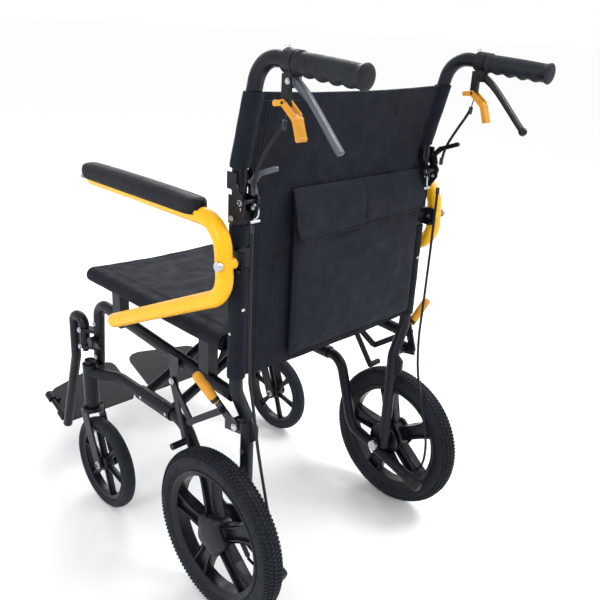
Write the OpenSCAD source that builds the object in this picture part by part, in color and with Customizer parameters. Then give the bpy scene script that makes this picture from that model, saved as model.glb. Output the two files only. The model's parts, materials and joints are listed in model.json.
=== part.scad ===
// Folding transit wheelchair. Front faces -Y, +Z is up, +X is the sitter's left.
// The row's origin is on the floor in the centre plane, under the middle of the overall length.

/* [Overall] */
// Distance from the origin back to the rear axle
axle_y = 243; // [230:1:255]
// Distance from the centre plane to each back cane
cane_x = 216; // [205:1:240]
// Distance from the centre plane to each side rail
rail_x = 207; // [196:1:230]
// Distance from the centre plane to the strut above each rear axle
strut_x = 190; // [175:1:200]

/* [Frame tubes] */
// Outside diameter of the frame tubes
tube_d = 22; // [20:0.5:24]
// Wall of the frame tubes
tube_wall = 1.6; // [1.2:0.1:2.5]
// Height of the lower rail
lower_z = 290; // [270:1:310]
// Height of the upper rail at its front
upper_z = 430; // [410:1:440]
// Fall of the upper rail from its front to the cane
upper_fall = 26; // [0:1:34]
// Height of the seat rails
seat_z = 485; // [478:1:510]
// Distance of the front post from the rear axle
post_y = 424; // [400:1:460]

/* [Rear wheels] */
// Radius of the rear wheel over its tyre
wheel_r = 151; // [140:1:160]
// Distance from the centre plane to each rear wheel
wheel_x = 239; // [236:1:260]
// Width of the rear tyre
tyre_w = 40; // [32:1:42]
// Height of the rear tyre section
tyre_h = 36; // [28:1:44]
// Diameter of the rear axle
axle_d = 12; // [10:0.5:16]
// Number of spokes in a rear rim
rim_spokes = 5; // [3:1:7]

/* [Casters] */
// Radius of the caster wheel over its tyre
caster_r = 98; // [85:1:102]
// Width of the caster tyre
caster_w = 28; // [22:1:32]
// Distance from the centre plane to each swivel axis
caster_x = 238; // [236:1:255]
// Distance from the rear axle forward to the swivel axis
swivel_y = 414; // [400:1:420]
// Trail of the caster wheel behind its swivel axis
trail = 43; // [25:1:50]
// Number of spokes in a caster rim
caster_spokes = 6; // [3:1:8]

/* [Back] */
// Distance from the rear axle back to the canes
cane_y = 12; // [6:1:16]
// Height of the fold in the canes
fold_z = 736; // [700:1:760]
// Height of the handle axis at the bend
handle_z = 922; // [880:1:950]
// Distance from the rear axle back to the grip's end
grip_end_y = 231; // [215:1:245]
// Length of a hand grip
grip_l = 112; // [95:1:115]
// Diameter of a hand grip
grip_d = 30; // [28:1:31]

/* [Arms] */
// Distance from the centre plane to each arm
arm_x = 253; // [252:1:275]
// Diameter of the arm tube
arm_d = 26; // [22:1:28]
// Height of the arm tube under its pad
arm_z = 699; // [690:1:720]
// Length of an arm pad
pad_l = 326; // [290:1:350]
// Width of an arm pad
pad_w = 40; // [36:1:41]
// Thickness of an arm pad
pad_t = 30; // [22:1:36]

/* [Leg rests] */
// Distance from the centre plane to each hanger pivot
hanger_x = 224; // [220:1:240]
// Diameter of the hanger tube
hanger_d = 20; // [18:1:20]
// Width of a footplate
plate_w = 188; // [160:1:192]
// Depth of a footplate from front to rear
plate_d = 132; // [110:1:140]
// Thickness of a footplate
plate_t = 8; // [6:1:10]
// Rise of a footplate towards its front, in degrees
plate_tilt = 22; // [10:1:25]

/* [Seat and back fabric] */
// Distance of the seat's front edge from the rear axle
seat_front_y = 436; // [420:1:450]
// Thickness of the seat sling
seat_t = 6; // [4:1:10]
// Thickness of the fabric round the canes and seat rails
cloth_t = 2.2; // [1.5:0.1:3]
// Thickness of the back sling
back_t = 6; // [4:1:8]
// Depth of the rear pocket
pocket_t = 16; // [8:1:24]

/* [Hidden] */
$fn = 48;

// How far a straight tube runs into its bend
lap = 0.2;

// Clearances
running = 0.05;     // radial, shaft in a hole
gap = 0.4;          // between pieces on different bodies
soft_gap = 0.5;     // between cloth and metal

tube_r = tube_d / 2;
frame_bend = 45;
upper_rear_z = upper_z - upper_fall;

// Lower rail: from the caster housing, back, down to the axle and on as the tipping lever
rail_front_y = -352;
rail_rear_y = -138;
tip_knee = [strut_x, -78, 156];
tip_end = [strut_x, 108, 98];

// Scissor brace
pivot_z = lower_z;
brace_d = 18;
sleeve_d = 28;
sleeve_front_y = -278;
sleeve_rear_y = -171;
brace_a_ys = [-266, -183];
brace_b_ys = [-245, -204];
centre_z = (pivot_z + seat_z) / 2;
centre_bolt_d = 8;
seat_rail_front_y = -seat_front_y + 8;
seat_rail_rear_y = -22;
saddle_ys = [-338, -70];
saddle_l = 26;
saddle_w = 20;

// Caster
housing_d = 30;
housing_bottom = 214;
housing_top = 308;
stem_d = 12;
fork_t = 4;
fork_w = 26;
crown_z = housing_bottom - 1;
crown_t = 8;
caster_tyre_h = 20;
caster_axle_d = 8;
caster_axle_y = trail - swivel_y;

// Rear wheel
rim_r = wheel_r - tyre_h;
rim_w = 30;
rim_t = 12;
hub_d = 58;
drum_d = 84;
strut_out_x = strut_x + tube_r;
axle_in_x = strut_x - 18;
axle_out_x = wheel_x + rim_w / 2 + 9;

// Back fold
hinge_y = cane_y + 20;
hinge_z = fold_z - 10;
hinge_pin_d = 6;
cheek_t = 2.4;
lower_cheek_x = tube_r + 0.2;
upper_cheek_x = lower_cheek_x + cheek_t + gap;
cane_knee = [cane_x, cane_y, fold_z + 40];
cane_top = [cane_x, 50, handle_z];
cane_end = [cane_x, grip_end_y - 12, handle_z - 13];
handle_drop = atan2(cane_top[2] - cane_end[2], cane_end[1] - cane_top[1]);
clamp_y = grip_end_y - grip_l - 10;
clamp_z = cane_top[2] - (clamp_y - cane_top[1]) * tan(handle_drop);
lever_pivot = [clamp_y + 3, clamp_z - 23];

// Arms
arm_pivot = [31, 640];
arm_rear = 20;
arm_low = [29, 592];
arm_tip = [-284, 449];
arm_bend = 45;
arm_front_y = -328;
pad_rear_y = -24;
pad_z = arm_z - 3;
pivot_bolt_d = 8;

// Leg rests
pivot_y = -post_y - 30;
lug_zs = [330, 366];
lug_t = 7;
hanger_top = 390;
hanger_pin_d = 12;
plate_axis_x = hanger_x - 6;
plate_axis_y = -574;
plate_axis_z = 91;
plate_drop = 20;
plate_pin_d = 10;
plate_cut = 34;      // how far the outer front corner is set back

// Parking brake: a lever on the post, a link forward and a shoe arm under the upper rail
lever_at = [28, 366];
link_at = [-14, 390];
link_end = [-88, 322];
shoe_at = [-140, 378];
park_pin_d = 8;
crank_pin_d = 6;
bracket_x = 224.4;
bracket_t = 3;
park_x = bracket_x + bracket_t + gap;
lever_t = 4;
lever_travel = 41;
shoe_r = 6;
shoe_contact = 118;
shoe_gap = 1;        // between the shoe and the tyre when it is on
arm_len = norm(link_end - shoe_at);
crank_at = lever_at + 0.72 * (link_at - lever_at);
link_shift = rotated(crank_at - lever_at, -lever_travel) - (crank_at - lever_at);
shoe_travel = 2 * asin(norm(link_shift) / 2 / arm_len);
shoe_on = [
    (wheel_r + shoe_r + shoe_gap) * cos(shoe_contact),
    wheel_r + (wheel_r + shoe_r + shoe_gap) * sin(shoe_contact)
];
shoe_off = shoe_at + rotated(shoe_on - shoe_at, -shoe_travel);

// Cloth
back_low_z = 444;
back_top_z = 874;
crease_gap = 1.5;
pocket_left_x = 108;
pocket_right_x = -192;
pocket_low_z = 452;
pocket_high_z = 722;

// Brake cables, as points on the left side with X, Y, Z from the rear axle's floor point
cable_d = 5;
upper_cable = [[216, 98, 842], [219, 88, 826], [222, 70, 800], [222, 54, 770], [222, 48, 742]];
lower_cable = [
    [222, 48, 694], [222, 48, 600], [220, 48, 470], [213, 52, 400], [210, 62, 330],
    [210, 84, 250], [210, 100, 190], [210, 98, 138], [210, 74, 106], [209, 44, 106]
];

// ---------- helpers ----------

function unit(v) = v / norm(v);
function rotated(v, a) = [v[0] * cos(a) - v[1] * sin(a), v[0] * sin(a) + v[1] * cos(a)];
function turn(a, b, c) = acos(min(1, max(-1, unit(b - a) * unit(c - b))));
function setback(a, b, c, r) = r * tan(turn(a, b, c) / 2);
function side_of(z) = unit(cross(z, abs(z[0]) < 0.9 ? [1, 0, 0] : [0, 1, 0]));
function placed(x, y, z, o) = [
    [x[0], y[0], z[0], o[0]],
    [x[1], y[1], z[1], o[1]],
    [x[2], y[2], z[2], o[2]],
    [0, 0, 0, 1]
];

// Children, drawn up +Z from the origin, are laid from a towards b
module along(a, b) {
    z = unit(b - a);
    x = side_of(z);
    multmatrix(placed(x, cross(z, x), z, a)) children();
}

module rod(a, b, d) {
    along(a, b) cylinder(d = d, h = norm(b - a));
}

// A quarter-turn-like bend between the straights a-b and b-c
module elbow(a, b, c, r, d) {
    u = unit(b - a);
    v = unit(c - b);
    n = unit(v - (v * u) * u);
    start = b - u * setback(a, b, c, r);
    multmatrix(placed(-n, u, cross(-n, u), start + n * r))
        rotate_extrude(angle = turn(a, b, c), $fn = 96) translate([r, 0]) circle(d = d, $fn = 40);
}

// A round bar bent along points, with one bend radius
// Its bends are thicker than its straights by swell, so that their end faces differ
module bent(points, r, d, swell = 0.3) {
    last = len(points) - 1;
    for (i = [0 : last - 1]) {
        u = unit(points[i + 1] - points[i]);
        from = i == 0 ? points[0]
            : points[i] + u * (setback(points[i - 1], points[i], points[i + 1], r) - lap);
        to = i == last - 1 ? points[last]
            : points[i + 1] - u * (setback(points[i], points[i + 1], points[i + 2], r) - lap);
        rod(from, to, d);
    }
    for (i = [1 : 1 : last - 1]) elbow(points[i - 1], points[i], points[i + 1], r, d + swell);
}

// The bore of a bent tube: open past both ends
module bent_bore(points, r, d) {
    last = len(points) - 1;
    ends = [for (i = [0 : last])
        i == 0 ? points[0] - unit(points[1] - points[0])
        : i == last ? points[last] + unit(points[last] - points[last - 1])
        : points[i]];
    bent(ends, r, d, -0.3);
}

// Ring points of a swept cord
function tangent(p, i) = unit(p[min(i + 1, len(p) - 1)] - p[max(i - 1, 0)]);
function ring(p, i, r, n) =
    let (z = tangent(p, i), x = unit(cross(z, [1, 0.01, 0])), y = cross(z, x))
    [for (k = [0 : n - 1]) p[i] + r * (cos(360 * k / n) * x + sin(360 * k / n) * y)];
function spline(a, b, c, d, t) = 0.5 * ((2 * b) + (c - a) * t + (2 * a - 5 * b + 4 * c - d) * t * t
    + (3 * b - a - 3 * c + d) * t * t * t);
function smooth(p, steps) = concat(
    [for (i = [0 : len(p) - 2]) for (s = [0 : steps - 1])
        spline(p[max(i - 1, 0)], p[i], p[i + 1], p[min(i + 2, len(p) - 1)], s / steps)],
    [p[len(p) - 1]]
);

// A cord swept along points
module cord(points, d, steps, sides = 8) {
    p = smooth(points, steps);
    rings = [for (i = [0 : len(p) - 1]) each ring(p, i, d / 2, sides)];
    count = len(p);
    walls = [for (i = [0 : count - 2]) for (k = [0 : sides - 1])
        [i * sides + k, i * sides + (k + 1) % sides,
            (i + 1) * sides + (k + 1) % sides, (i + 1) * sides + k]];
    first = [for (k = [0 : sides - 1]) sides - 1 - k];
    final = [for (k = [0 : sides - 1]) (count - 1) * sides + k];
    polyhedron(rings, concat([first], walls, [final]));
}

// A plate in the YZ plane, from x0 outwards, with an outline of [y, z] points
module side_plate(x0, t, outline) {
    translate([x0, 0, 0]) rotate([90, 0, 90]) linear_extrude(t) polygon(outline);
}

// A cylinder along X from x0 to x1 at [y, z]
module cross_pin(x0, x1, at, d) {
    translate([x0, at[0], at[1]]) rotate([0, 90, 0]) cylinder(d = d, h = x1 - x0);
}

// A flat strip in the YZ plane from [y, z] to [y, z], with its faces set in by shy
module web(x0, t, from, to, w, shy = 0.15) {
    reach = [to[0] - from[0], to[1] - from[1]];
    translate([x0 + shy, from[0], from[1]]) rotate([atan2(reach[1], reach[0]), 0, 0])
        translate([0, 0, -w / 2 + shy]) cube([t - 2 * shy, norm(reach), w - 2 * shy]);
}

// The same with round ends
module bar(x0, t, from, to, w) {
    cross_pin(x0, x0 + t, from, w);
    cross_pin(x0, x0 + t, to, w);
    web(x0, t, from, to, w);
}

// A slab with round corners, its low corner at the origin
module round_slab(size, r) {
    translate([r, 0, 0]) cube([size[0] - 2 * r, size[1], size[2]]);
    translate([0, r, 0]) cube([size[0], size[1] - 2 * r, size[2]]);
    for (x = [r, size[0] - r], y = [r, size[1] - r]) translate([x, y, 0]) cylinder(r = r, h = size[2]);
}

// Places a piece made on the left, about the rear axle's floor point
module left() {
    translate([0, axle_y, 0]) children();
}

module right() {
    mirror([1, 0, 0]) left() children();
}

// ---------- side frame ----------

upper_path = [
    [rail_x, -post_y - 9, lower_z - 8],
    [rail_x, -post_y + 4, upper_z],
    [cane_x - 4, cane_y, upper_rear_z]
];
lower_path = [
    [caster_x, -swivel_y + 6, lower_z],
    [rail_x, rail_front_y, lower_z],
    [rail_x, rail_rear_y, lower_z],
    tip_knee,
    tip_end
];

module saddle_block(y) {
    translate([rail_x - saddle_w / 2, y - saddle_l / 2, upper_rear_z + 4])
        cube([saddle_w, saddle_l, seat_z - upper_rear_z - 13]);
}

module side_frame() {
    difference() {
        union() {
            bent(upper_path, frame_bend / 1.5, tube_d);
            bent(lower_path, frame_bend, tube_d);
            translate([caster_x, -swivel_y, housing_bottom])
                cylinder(d = housing_d, h = housing_top - housing_bottom);
            translate([rail_x, -swivel_y - 16, lower_z - 8]) cube([caster_x - rail_x, 18, 16]);
            for (y = saddle_ys) saddle_block(y);
            for (z = lug_zs) hanger_lug(z);
            cross_pin(rail_x, bracket_x - 0.1, [shoe_at[0], upper_z - upper_fall / 2 - 5], 16);
        }
        bent_bore(upper_path, frame_bend / 1.5, tube_d - 2 * tube_wall);
        bent_bore(lower_path, frame_bend, tube_d - 2 * tube_wall);
        translate([caster_x, -swivel_y, housing_bottom - 1])
            cylinder(d = stem_d + 2 * running, h = housing_top - housing_bottom + 2);
        translate([cane_x, cane_y, 350]) cylinder(d = tube_d + 0.1, h = 100);
        rod(post_path[1], post_path[2], tube_d + 0.8);
        rod([rail_x, -seat_front_y, seat_z], [rail_x, 0, seat_z], tube_d + 2 * gap);
        translate([hanger_x, pivot_y, lug_zs[0] - 20])
            cylinder(d = hanger_pin_d + 2 * running, h = 90);
    }
}

module hanger_lug(z) {
    reach = [rail_x, -post_y - 2];
    translate([0, 0, z - lug_t / 2]) {
        translate([hanger_x, pivot_y, 0]) cylinder(d = hanger_pin_d + 10, h = lug_t);
        hull() {
            translate([reach[0], reach[1] + 4, 0]) cylinder(d = 14, h = lug_t, $fn = 32);
            translate([hanger_x, pivot_y, 0]) cylinder(d = hanger_pin_d + 9.6, h = lug_t, $fn = 32);
        }
    }
}

// ---------- back post ----------

post_path = [
    [cane_x, cane_y, fold_z - gap],
    [cane_x, cane_y, 418],
    [strut_x, cane_y, 358],
    [strut_x, cane_y, wheel_r - 4]
];

module back_post() {
    difference() {
        union() {
            bent(post_path, 40, tube_d);
            cross_pin(strut_x - 15, strut_out_x + 1, [0, wheel_r], axle_d + 12);
            arm_bracket();
            strut_gusset();
            cross_pin(strut_x, bracket_x - 0.1, [cane_y, lever_at[1] - 4], 15);
        }
        bent_bore(post_path, 40, tube_d - 2 * tube_wall);
        rod(tip_knee, tip_end, tube_d + 0.1);
        cross_pin(strut_x - 20, strut_out_x + 10, [0, wheel_r], axle_d + 0.02);
        cross_pin(cane_x, arm_x, arm_pivot, pivot_bolt_d + 2 * running);
    }
}

// The bracket on the cane that carries the arm pivot
module arm_bracket() {
    low = arm_pivot[1] - 15;
    plate_x = arm_x - arm_d / 2 - 7;
    translate([cane_x - tube_r - 2, cane_y - 9, low]) cube([2 * tube_r + 4, 20, 30]);
    translate([cane_x + 6, cane_y + 6, low]) cube([plate_x - cane_x, arm_pivot[0] - cane_y + 2, 5]);
    translate([plate_x - 5, cane_y - 2, low]) cube([5, arm_pivot[0] - cane_y + 12, 30]);
    translate([cane_x + 6, cane_y - 2, low]) cube([plate_x - cane_x - 6, 8, 30]);
}

module strut_gusset() {
    side_plate(strut_x - 3, 6, [[cane_y, 372], [cane_y + 24, 352], [cane_y + 24, 330], [cane_y, 306]]);
}

// ---------- back hinge and upper cane ----------

// The fixed half of the fold: two cheeks beside the post, a web behind it and the hinge pin
module back_hinge() {
    low = hinge_z - 34;
    high = fold_z - 3;
    out = [
        [cane_y - 8, low], [cane_y + 12, low], [hinge_y + 7, hinge_z - 12],
        [hinge_y + 7, hinge_z + 6], [hinge_y - 6, high], [cane_y - 8, high]
    ];
    for (dx = [lower_cheek_x, -lower_cheek_x - cheek_t]) side_plate(cane_x + dx, cheek_t, out);
    cross_pin(cane_x - upper_cheek_x - cheek_t - 3, cane_x + upper_cheek_x + cheek_t + 3,
        [hinge_y, hinge_z], hinge_pin_d);
    translate([cane_x - lower_cheek_x - 1, cane_y + tube_r + 0.3, low + 3])
        cube([2 * lower_cheek_x + 2, cheek_t, 16]);
}

cane_path = [[cane_x, cane_y, fold_z + gap], cane_knee, cane_top, cane_end];

module cane() {
    difference() {
        union() {
            bent(cane_path, 42, tube_d);
            for (dx = [upper_cheek_x, -upper_cheek_x - cheek_t])
                translate([cane_x + dx, 0, 0]) {
                    translate([0, cane_y - 8, fold_z + 6]) cube([cheek_t, 20, 24]);
                    web(0, cheek_t, [cane_y + 4, fold_z + 14], [hinge_y, hinge_z], 14);
                    cross_pin(0, cheek_t, [hinge_y, hinge_z], 14);
                }
            translate([cane_x - upper_cheek_x - cheek_t, cane_y - 6, fold_z + 10])
                cube([2 * (upper_cheek_x + cheek_t), 12, 16]);
        }
        bent_bore(cane_path, 42, tube_d - 2 * tube_wall);
        cross_pin(cane_x - 40, cane_x + 40, [hinge_y, hinge_z], hinge_pin_d + 2 * running);
    }
}

// Children, drawn along +Z, lie on the handle axis with Z = 0 at the clamp and +X to the left
module on_handle() {
    translate([cane_x, clamp_y, clamp_z]) rotate([-90 - handle_drop, 0, 0]) children();
}

module grip() {
    on_handle() difference() {
        union() {
            translate([0, 0, 10]) cylinder(d = grip_d, h = grip_l - 6);
            translate([0, 0, 10]) cylinder(d = grip_d + 1, h = 5);
            translate([0, 0, grip_l - 2]) cylinder(d = grip_d + 1, h = 6);
        }
        translate([0, 0, 5]) cylinder(d = tube_d + 0.02, h = grip_l - 6);
        for (k = [0 : 3]) translate([-20, 27, 32 + 20 * k]) rotate([0, 90, 0])
            cylinder(r = 14.5, h = 40);
    }
}

module lever_clamp() {
    difference() {
        union() {
            on_handle() translate([0, 0, -9]) cylinder(d = tube_d + 9, h = 18);
            translate([cane_x - 9, lever_pivot[0] - 10, lever_pivot[1] - 8]) cube([18, 15, 22]);
            translate([cane_x - 4, latch_pivot[0] - 6, latch_pivot[1] - 5]) cube([8, 12, 40]);
            cross_pin(cane_x - 8.4, cane_x + 8.4, latch_pivot, 4);
        }
        on_handle() translate([0, 0, -20]) cylinder(d = tube_d, h = 40);
        translate([cane_x - 3.4, lever_pivot[0] - 6, lever_pivot[1] - 20]) cube([6.8, 40, 27]);
        cross_pin(cane_x - 20, cane_x + 20, lever_pivot, 5.1);
    }
}

module brake_lever() {
    tip = [lever_pivot[0] + 88, lever_pivot[1] - 78];
    knee = [lever_pivot[0] + 26, lever_pivot[1] - 16];
    bar(cane_x - 3, 6, lever_pivot, knee, 9);
    web(cane_x - 3, 6, knee, tip, 9, 0.25);
    cross_pin(cane_x - 3, cane_x + 3, tip, 12);
    cross_pin(cane_x - 11, cane_x + 11, lever_pivot, 5);
}

latch_pivot = [lever_pivot[0] - 12, lever_pivot[1] - 27];

module lock_latch() {
    difference() {
        union() {
            for (x = [-7.4, 4.4]) {
                bar(cane_x + x, 3, latch_pivot, latch_pivot + [18, -14], 9);
                web(cane_x + x, 3, latch_pivot, latch_pivot + [-14, -2], 8, 0.25);
                cross_pin(cane_x + x, cane_x + x + 3, latch_pivot + [-14, -2], 8);
            }
            bar(cane_x - 7.7, 15.4, latch_pivot + [18, -15], latch_pivot + [22, -19], 7);
            web(cane_x - 7.7, 15.4, latch_pivot + [22, -19], latch_pivot + [30, -42], 7, 0.25);
            cross_pin(cane_x - 7.7, cane_x + 7.7, latch_pivot + [30, -42], 7);
        }
        cross_pin(cane_x - 20, cane_x + 20, latch_pivot, 4.1);
    }
}

back_latch_pivot = [hinge_y + 6, fold_z + 20];

module back_latch() {
    x0 = cane_x - 5;
    bar(x0, 5, back_latch_pivot, back_latch_pivot + [12, 12], 9);
    web(x0, 5, back_latch_pivot + [12, 12], back_latch_pivot + [44, 24], 8, 0.25);
    cross_pin(x0, x0 + 5, back_latch_pivot + [44, 24], 8);
    web(x0, 5, back_latch_pivot, back_latch_pivot + [4, -14], 8, 0.35);
    cross_pin(x0, x0 + 5, back_latch_pivot + [4, -14], 8);
    cross_pin(cane_x - 10, cane_x + 5, back_latch_pivot, 5);
}

// ---------- arms ----------

arm_path = [
    [arm_x, arm_front_y, arm_z], [arm_x, arm_rear, arm_z],
    [arm_x, arm_low[0], arm_low[1]], [arm_x, arm_tip[0], arm_tip[1]]
];

module arm_tube() {
    difference() {
        union() {
            bent(arm_path, arm_bend, arm_d);
            cross_pin(arm_x - arm_d / 2 - 1, arm_x, arm_pivot, 16);
        }
        bent_bore(arm_path, arm_bend, arm_d - 2 * tube_wall);
        cross_pin(arm_x - 30, arm_x + 30, arm_pivot, pivot_bolt_d + 2 * running);
        translate([arm_x - 40, arm_front_y - 30, arm_z + 8])
            cube([80, pad_rear_y - arm_front_y + 30.5, 10]);
    }
}

module arm_pad() {
    r = pad_w / 2;
    translate([arm_x - r, pad_rear_y - pad_l, arm_z + 8 + 0.1])
        round_slab([pad_w, pad_l, pad_t - 8], r - 0.5);
}

// ---------- leg rest ----------

hanger_path = [
    [hanger_x, pivot_y, lug_zs[1] + lug_t],
    [hanger_x, pivot_y, hanger_top],
    [hanger_x + 2, pivot_y - 37, hanger_top - 3],
    [hanger_x, pivot_y - 43, 290],
    [plate_axis_x, plate_axis_y, plate_axis_z - 3]
];
plate_dir = [0, -cos(plate_tilt), sin(plate_tilt)];
plate_origin = [plate_axis_x, plate_axis_y, plate_axis_z];

module hanger() {
    far = plate_origin + plate_dir * (plate_d - plate_cut);
    bent(hanger_path, 17, hanger_d);
    translate([hanger_x, pivot_y, lug_zs[0] - 12])
        cylinder(d = hanger_pin_d, h = lug_zs[1] - lug_zs[0] + 28);
    rod([hanger_x, pivot_y, lug_zs[0] + lug_t / 2 + gap], [hanger_x, pivot_y, lug_zs[1] - lug_t / 2 - gap],
        hanger_d);
    rod(plate_origin - plate_dir * 10, far, plate_pin_d);
}

// Children, drawn with +Y forward along the footplate's axis, are laid on that axis
module on_plate() {
    translate(plate_origin) rotate([-plate_tilt, 0, 0]) mirror([0, 1, 0]) children();
}

// Seen from above, with the hanger's axis at X = 0 and its front edge at the highest Y
plate_side = -8;
plate_front = plate_d + 12;
plate_outline = [
    [plate_side - plate_w + 14, 12], [plate_side - 14, 12], [plate_side, 26],
    [plate_side, plate_front - plate_cut - 14], [plate_side - 6, plate_front - plate_cut - 4],
    [plate_side - 18, plate_front - plate_cut + 4],
    [plate_side - plate_w + 34, plate_front], [plate_side - plate_w + 14, plate_front - 2],
    [plate_side - plate_w + 4, plate_front - 8], [plate_side - plate_w, plate_front - 20],
    [plate_side - plate_w, 26]
];

module footplate() {
    barrel = plate_pin_d + 8;
    on_plate() difference() {
        union() {
            translate([0, 0, -plate_drop]) linear_extrude(plate_t) polygon(plate_outline);
            for (y = [14, plate_d - plate_cut - 24]) {
                translate([0, y, 0]) rotate([-90, 0, 0]) cylinder(d = barrel, h = 20);
                translate([-barrel / 2 - 12, y, -plate_drop + 1]) cube([14, 20, plate_drop - 4]);
            }
        }
        rotate([-90, 0, 0]) translate([0, 0, -1]) cylinder(d = plate_pin_d + 2 * running, h = plate_d + 20);
    }
}

latch_post = [rail_x + tube_r, -post_y - 2];

module hanger_latch() {
    z = (lug_zs[0] + lug_zs[1]) / 2;
    translate([latch_post[0] + gap, latch_post[1] + 2, z]) {
        rotate([0, 90, 0]) cylinder(d = 20, h = 12);
        translate([4, 0, -6]) cube([6, 26, 12]);
        translate([4, 26, -6]) translate([0, 0, 6]) rotate([0, 90, 0]) cylinder(d = 12, h = 6);
    }
}

// ---------- caster ----------

module caster_fork() {
    legs_x = caster_w / 2 + 2;
    translate([caster_x, -swivel_y, 0]) {
        translate([0, 0, crown_z - crown_t]) cylinder(d = 44, h = crown_t);
        translate([0, 0, crown_z - crown_t]) cylinder(d = stem_d, h = housing_top + 9 - crown_z + crown_t);
        translate([0, 0, housing_top + 0.5]) cylinder(d = 20, h = 8);
    }
    for (s = [1, -1]) {
        x0 = caster_x + (s > 0 ? legs_x : -legs_x - fork_t);
        bar(x0, fork_t, [-swivel_y, crown_z - crown_t - 2], [caster_axle_y, caster_r], fork_w);
    }
    cross_pin(caster_x - legs_x - fork_t - 5, caster_x + legs_x + fork_t + 5,
        [caster_axle_y, caster_r], caster_axle_d);
}

module wheel_ring(outer, inner, w) {
    rotate_extrude($fn = 120) translate([inner, -w / 2]) square([outer - inner, w]);
}

// A rim with spokes, its axis along X
module rim(at, outer, t, w, hub, hub_w, spokes, spoke_w, bore) {
    translate(at) rotate([0, 90, 0]) difference() {
        union() {
            wheel_ring(outer, outer - t, w);
            cylinder(d = hub, h = hub_w, center = true);
            for (k = [0 : spokes - 1]) rotate(360 * k / spokes) translate([0, -spoke_w / 2, -w * 0.3])
                cube([outer - t / 2, spoke_w, w * 0.6]);
        }
        cylinder(d = bore, h = hub_w + 40, center = true);
    }
}

// A tyre with a round tread, its axis along X
module tyre(at, outer, h, w) {
    r = w / 2;
    translate(at) rotate([0, 90, 0]) difference() {
        rotate_extrude($fn = 120) union() {
            translate([outer - r, 0]) circle(r = r, $fn = 64);
            translate([outer - h, -w * 0.4]) square([h - r, w * 0.8]);
        }
        cylinder(r = outer - h, h = w + 2, center = true, $fn = 120);
    }
}

module caster_rim() {
    rim([caster_x, caster_axle_y, caster_r], caster_r - caster_tyre_h - 0.02, 9, caster_w - 6, 30,
        caster_w, caster_spokes, 13, caster_axle_d + 2 * running);
}

module caster_tyre() {
    tyre([caster_x, caster_axle_y, caster_r], caster_r, caster_tyre_h, caster_w);
}

// ---------- rear wheel ----------

module rear_rim() {
    rim([wheel_x, 0, wheel_r], rim_r - 0.02, rim_t, rim_w, hub_d, rim_w + 4, rim_spokes, 26,
        axle_d + 2 * running);
    difference() {
        cross_pin(strut_out_x + 9, wheel_x, [0, wheel_r], drum_d);
        cross_pin(strut_out_x + 8, wheel_x - 4, [0, wheel_r], drum_d - 10);
        cross_pin(strut_out_x, wheel_x + 40, [0, wheel_r], axle_d + 2 * running);
    }
}

module rear_tyre() {
    tyre([wheel_x, 0, wheel_r], wheel_r, tyre_h, tyre_w);
}

module drum_plate() {
    difference() {
        union() {
            cross_pin(strut_out_x + 1.5, strut_out_x + 5, [0, wheel_r], drum_d - 14);
            bar(strut_out_x + 4.8, 3.2, [24, wheel_r - 22], [40, wheel_r - 40], 12);
        }
        cross_pin(strut_out_x, strut_out_x + 20, [0, wheel_r], axle_d + 0.1);
    }
}

// ---------- parking brake ----------

grip_low = [park_x + 7, link_at[0] - 1, link_at[1] + 6];
grip_high = [park_x + 29, link_at[0] - 20, link_at[1] + 50];

// Children turned about an X axis at [y, z]
module turned(at, angle) {
    translate([0, at[0], at[1]]) rotate([angle, 0, 0]) translate([0, -at[0], -at[1]]) children();
}

module parking_lever() {
    difference() {
        union() {
            bar(park_x, lever_t, lever_at, link_at, 15);
            rod(grip_low - [5, 0, 1], grip_low, 9);
            rod(grip_low, grip_high, 15);
            along(grip_high, 2 * grip_high - grip_low)
                translate([0, 0, -1]) cylinder(d1 = 14.2, d2 = 9, h = 5);
            cross_pin(park_x, park_x + 2 * lever_t + 3, crank_at, crank_pin_d);
        }
        cross_pin(park_x - 5, park_x + 20, lever_at, park_pin_d + 2 * running);
    }
}

module parking_link() {
    x0 = park_x + lever_t + gap;
    difference() {
        bar(x0, 3, crank_at, link_end, 12);
        cross_pin(x0 - 1, x0 + 5, crank_at, crank_pin_d + 2 * running);
    }
}

module parking_shoe() {
    difference() {
        union() {
            bar(park_x, lever_t, shoe_at, link_end, 14);
            web(park_x, lever_t, shoe_at, shoe_off, 13, 0.25);
            cross_pin(park_x, park_x + 30, shoe_off, 2 * shoe_r);
        }
        cross_pin(park_x - 5, park_x + 20, shoe_at, park_pin_d + 2 * running);
    }
}

// The same three pieces with the brake on
module set_lever() {
    turned(lever_at, -lever_travel) parking_lever();
}

module set_link() {
    translate([0, link_shift[0], link_shift[1]]) parking_link();
}

module set_shoe() {
    turned(shoe_at, shoe_travel) parking_shoe();
}

// The two brackets that carry the parking brake, with their pins
module brake_bracket() {
    side_plate(bracket_x, bracket_t, [
        [shoe_at[0] - 14, upper_z - 4], [shoe_at[0] - 10, shoe_at[1] - 10],
        [shoe_at[0] + 10, shoe_at[1] - 10], [shoe_at[0] + 14, upper_z - 4]
    ]);
    side_plate(bracket_x, bracket_t, [
        [cane_y - 12, lever_at[1] + 12], [cane_y - 12, lever_at[1] - 16],
        [lever_at[0] + 9, lever_at[1] - 10], [lever_at[0] + 9, lever_at[1] + 9]
    ]);
    for (at = [shoe_at, lever_at])
        cross_pin(bracket_x + bracket_t - 0.5, park_x + lever_t + 2, at, park_pin_d);
}

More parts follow.
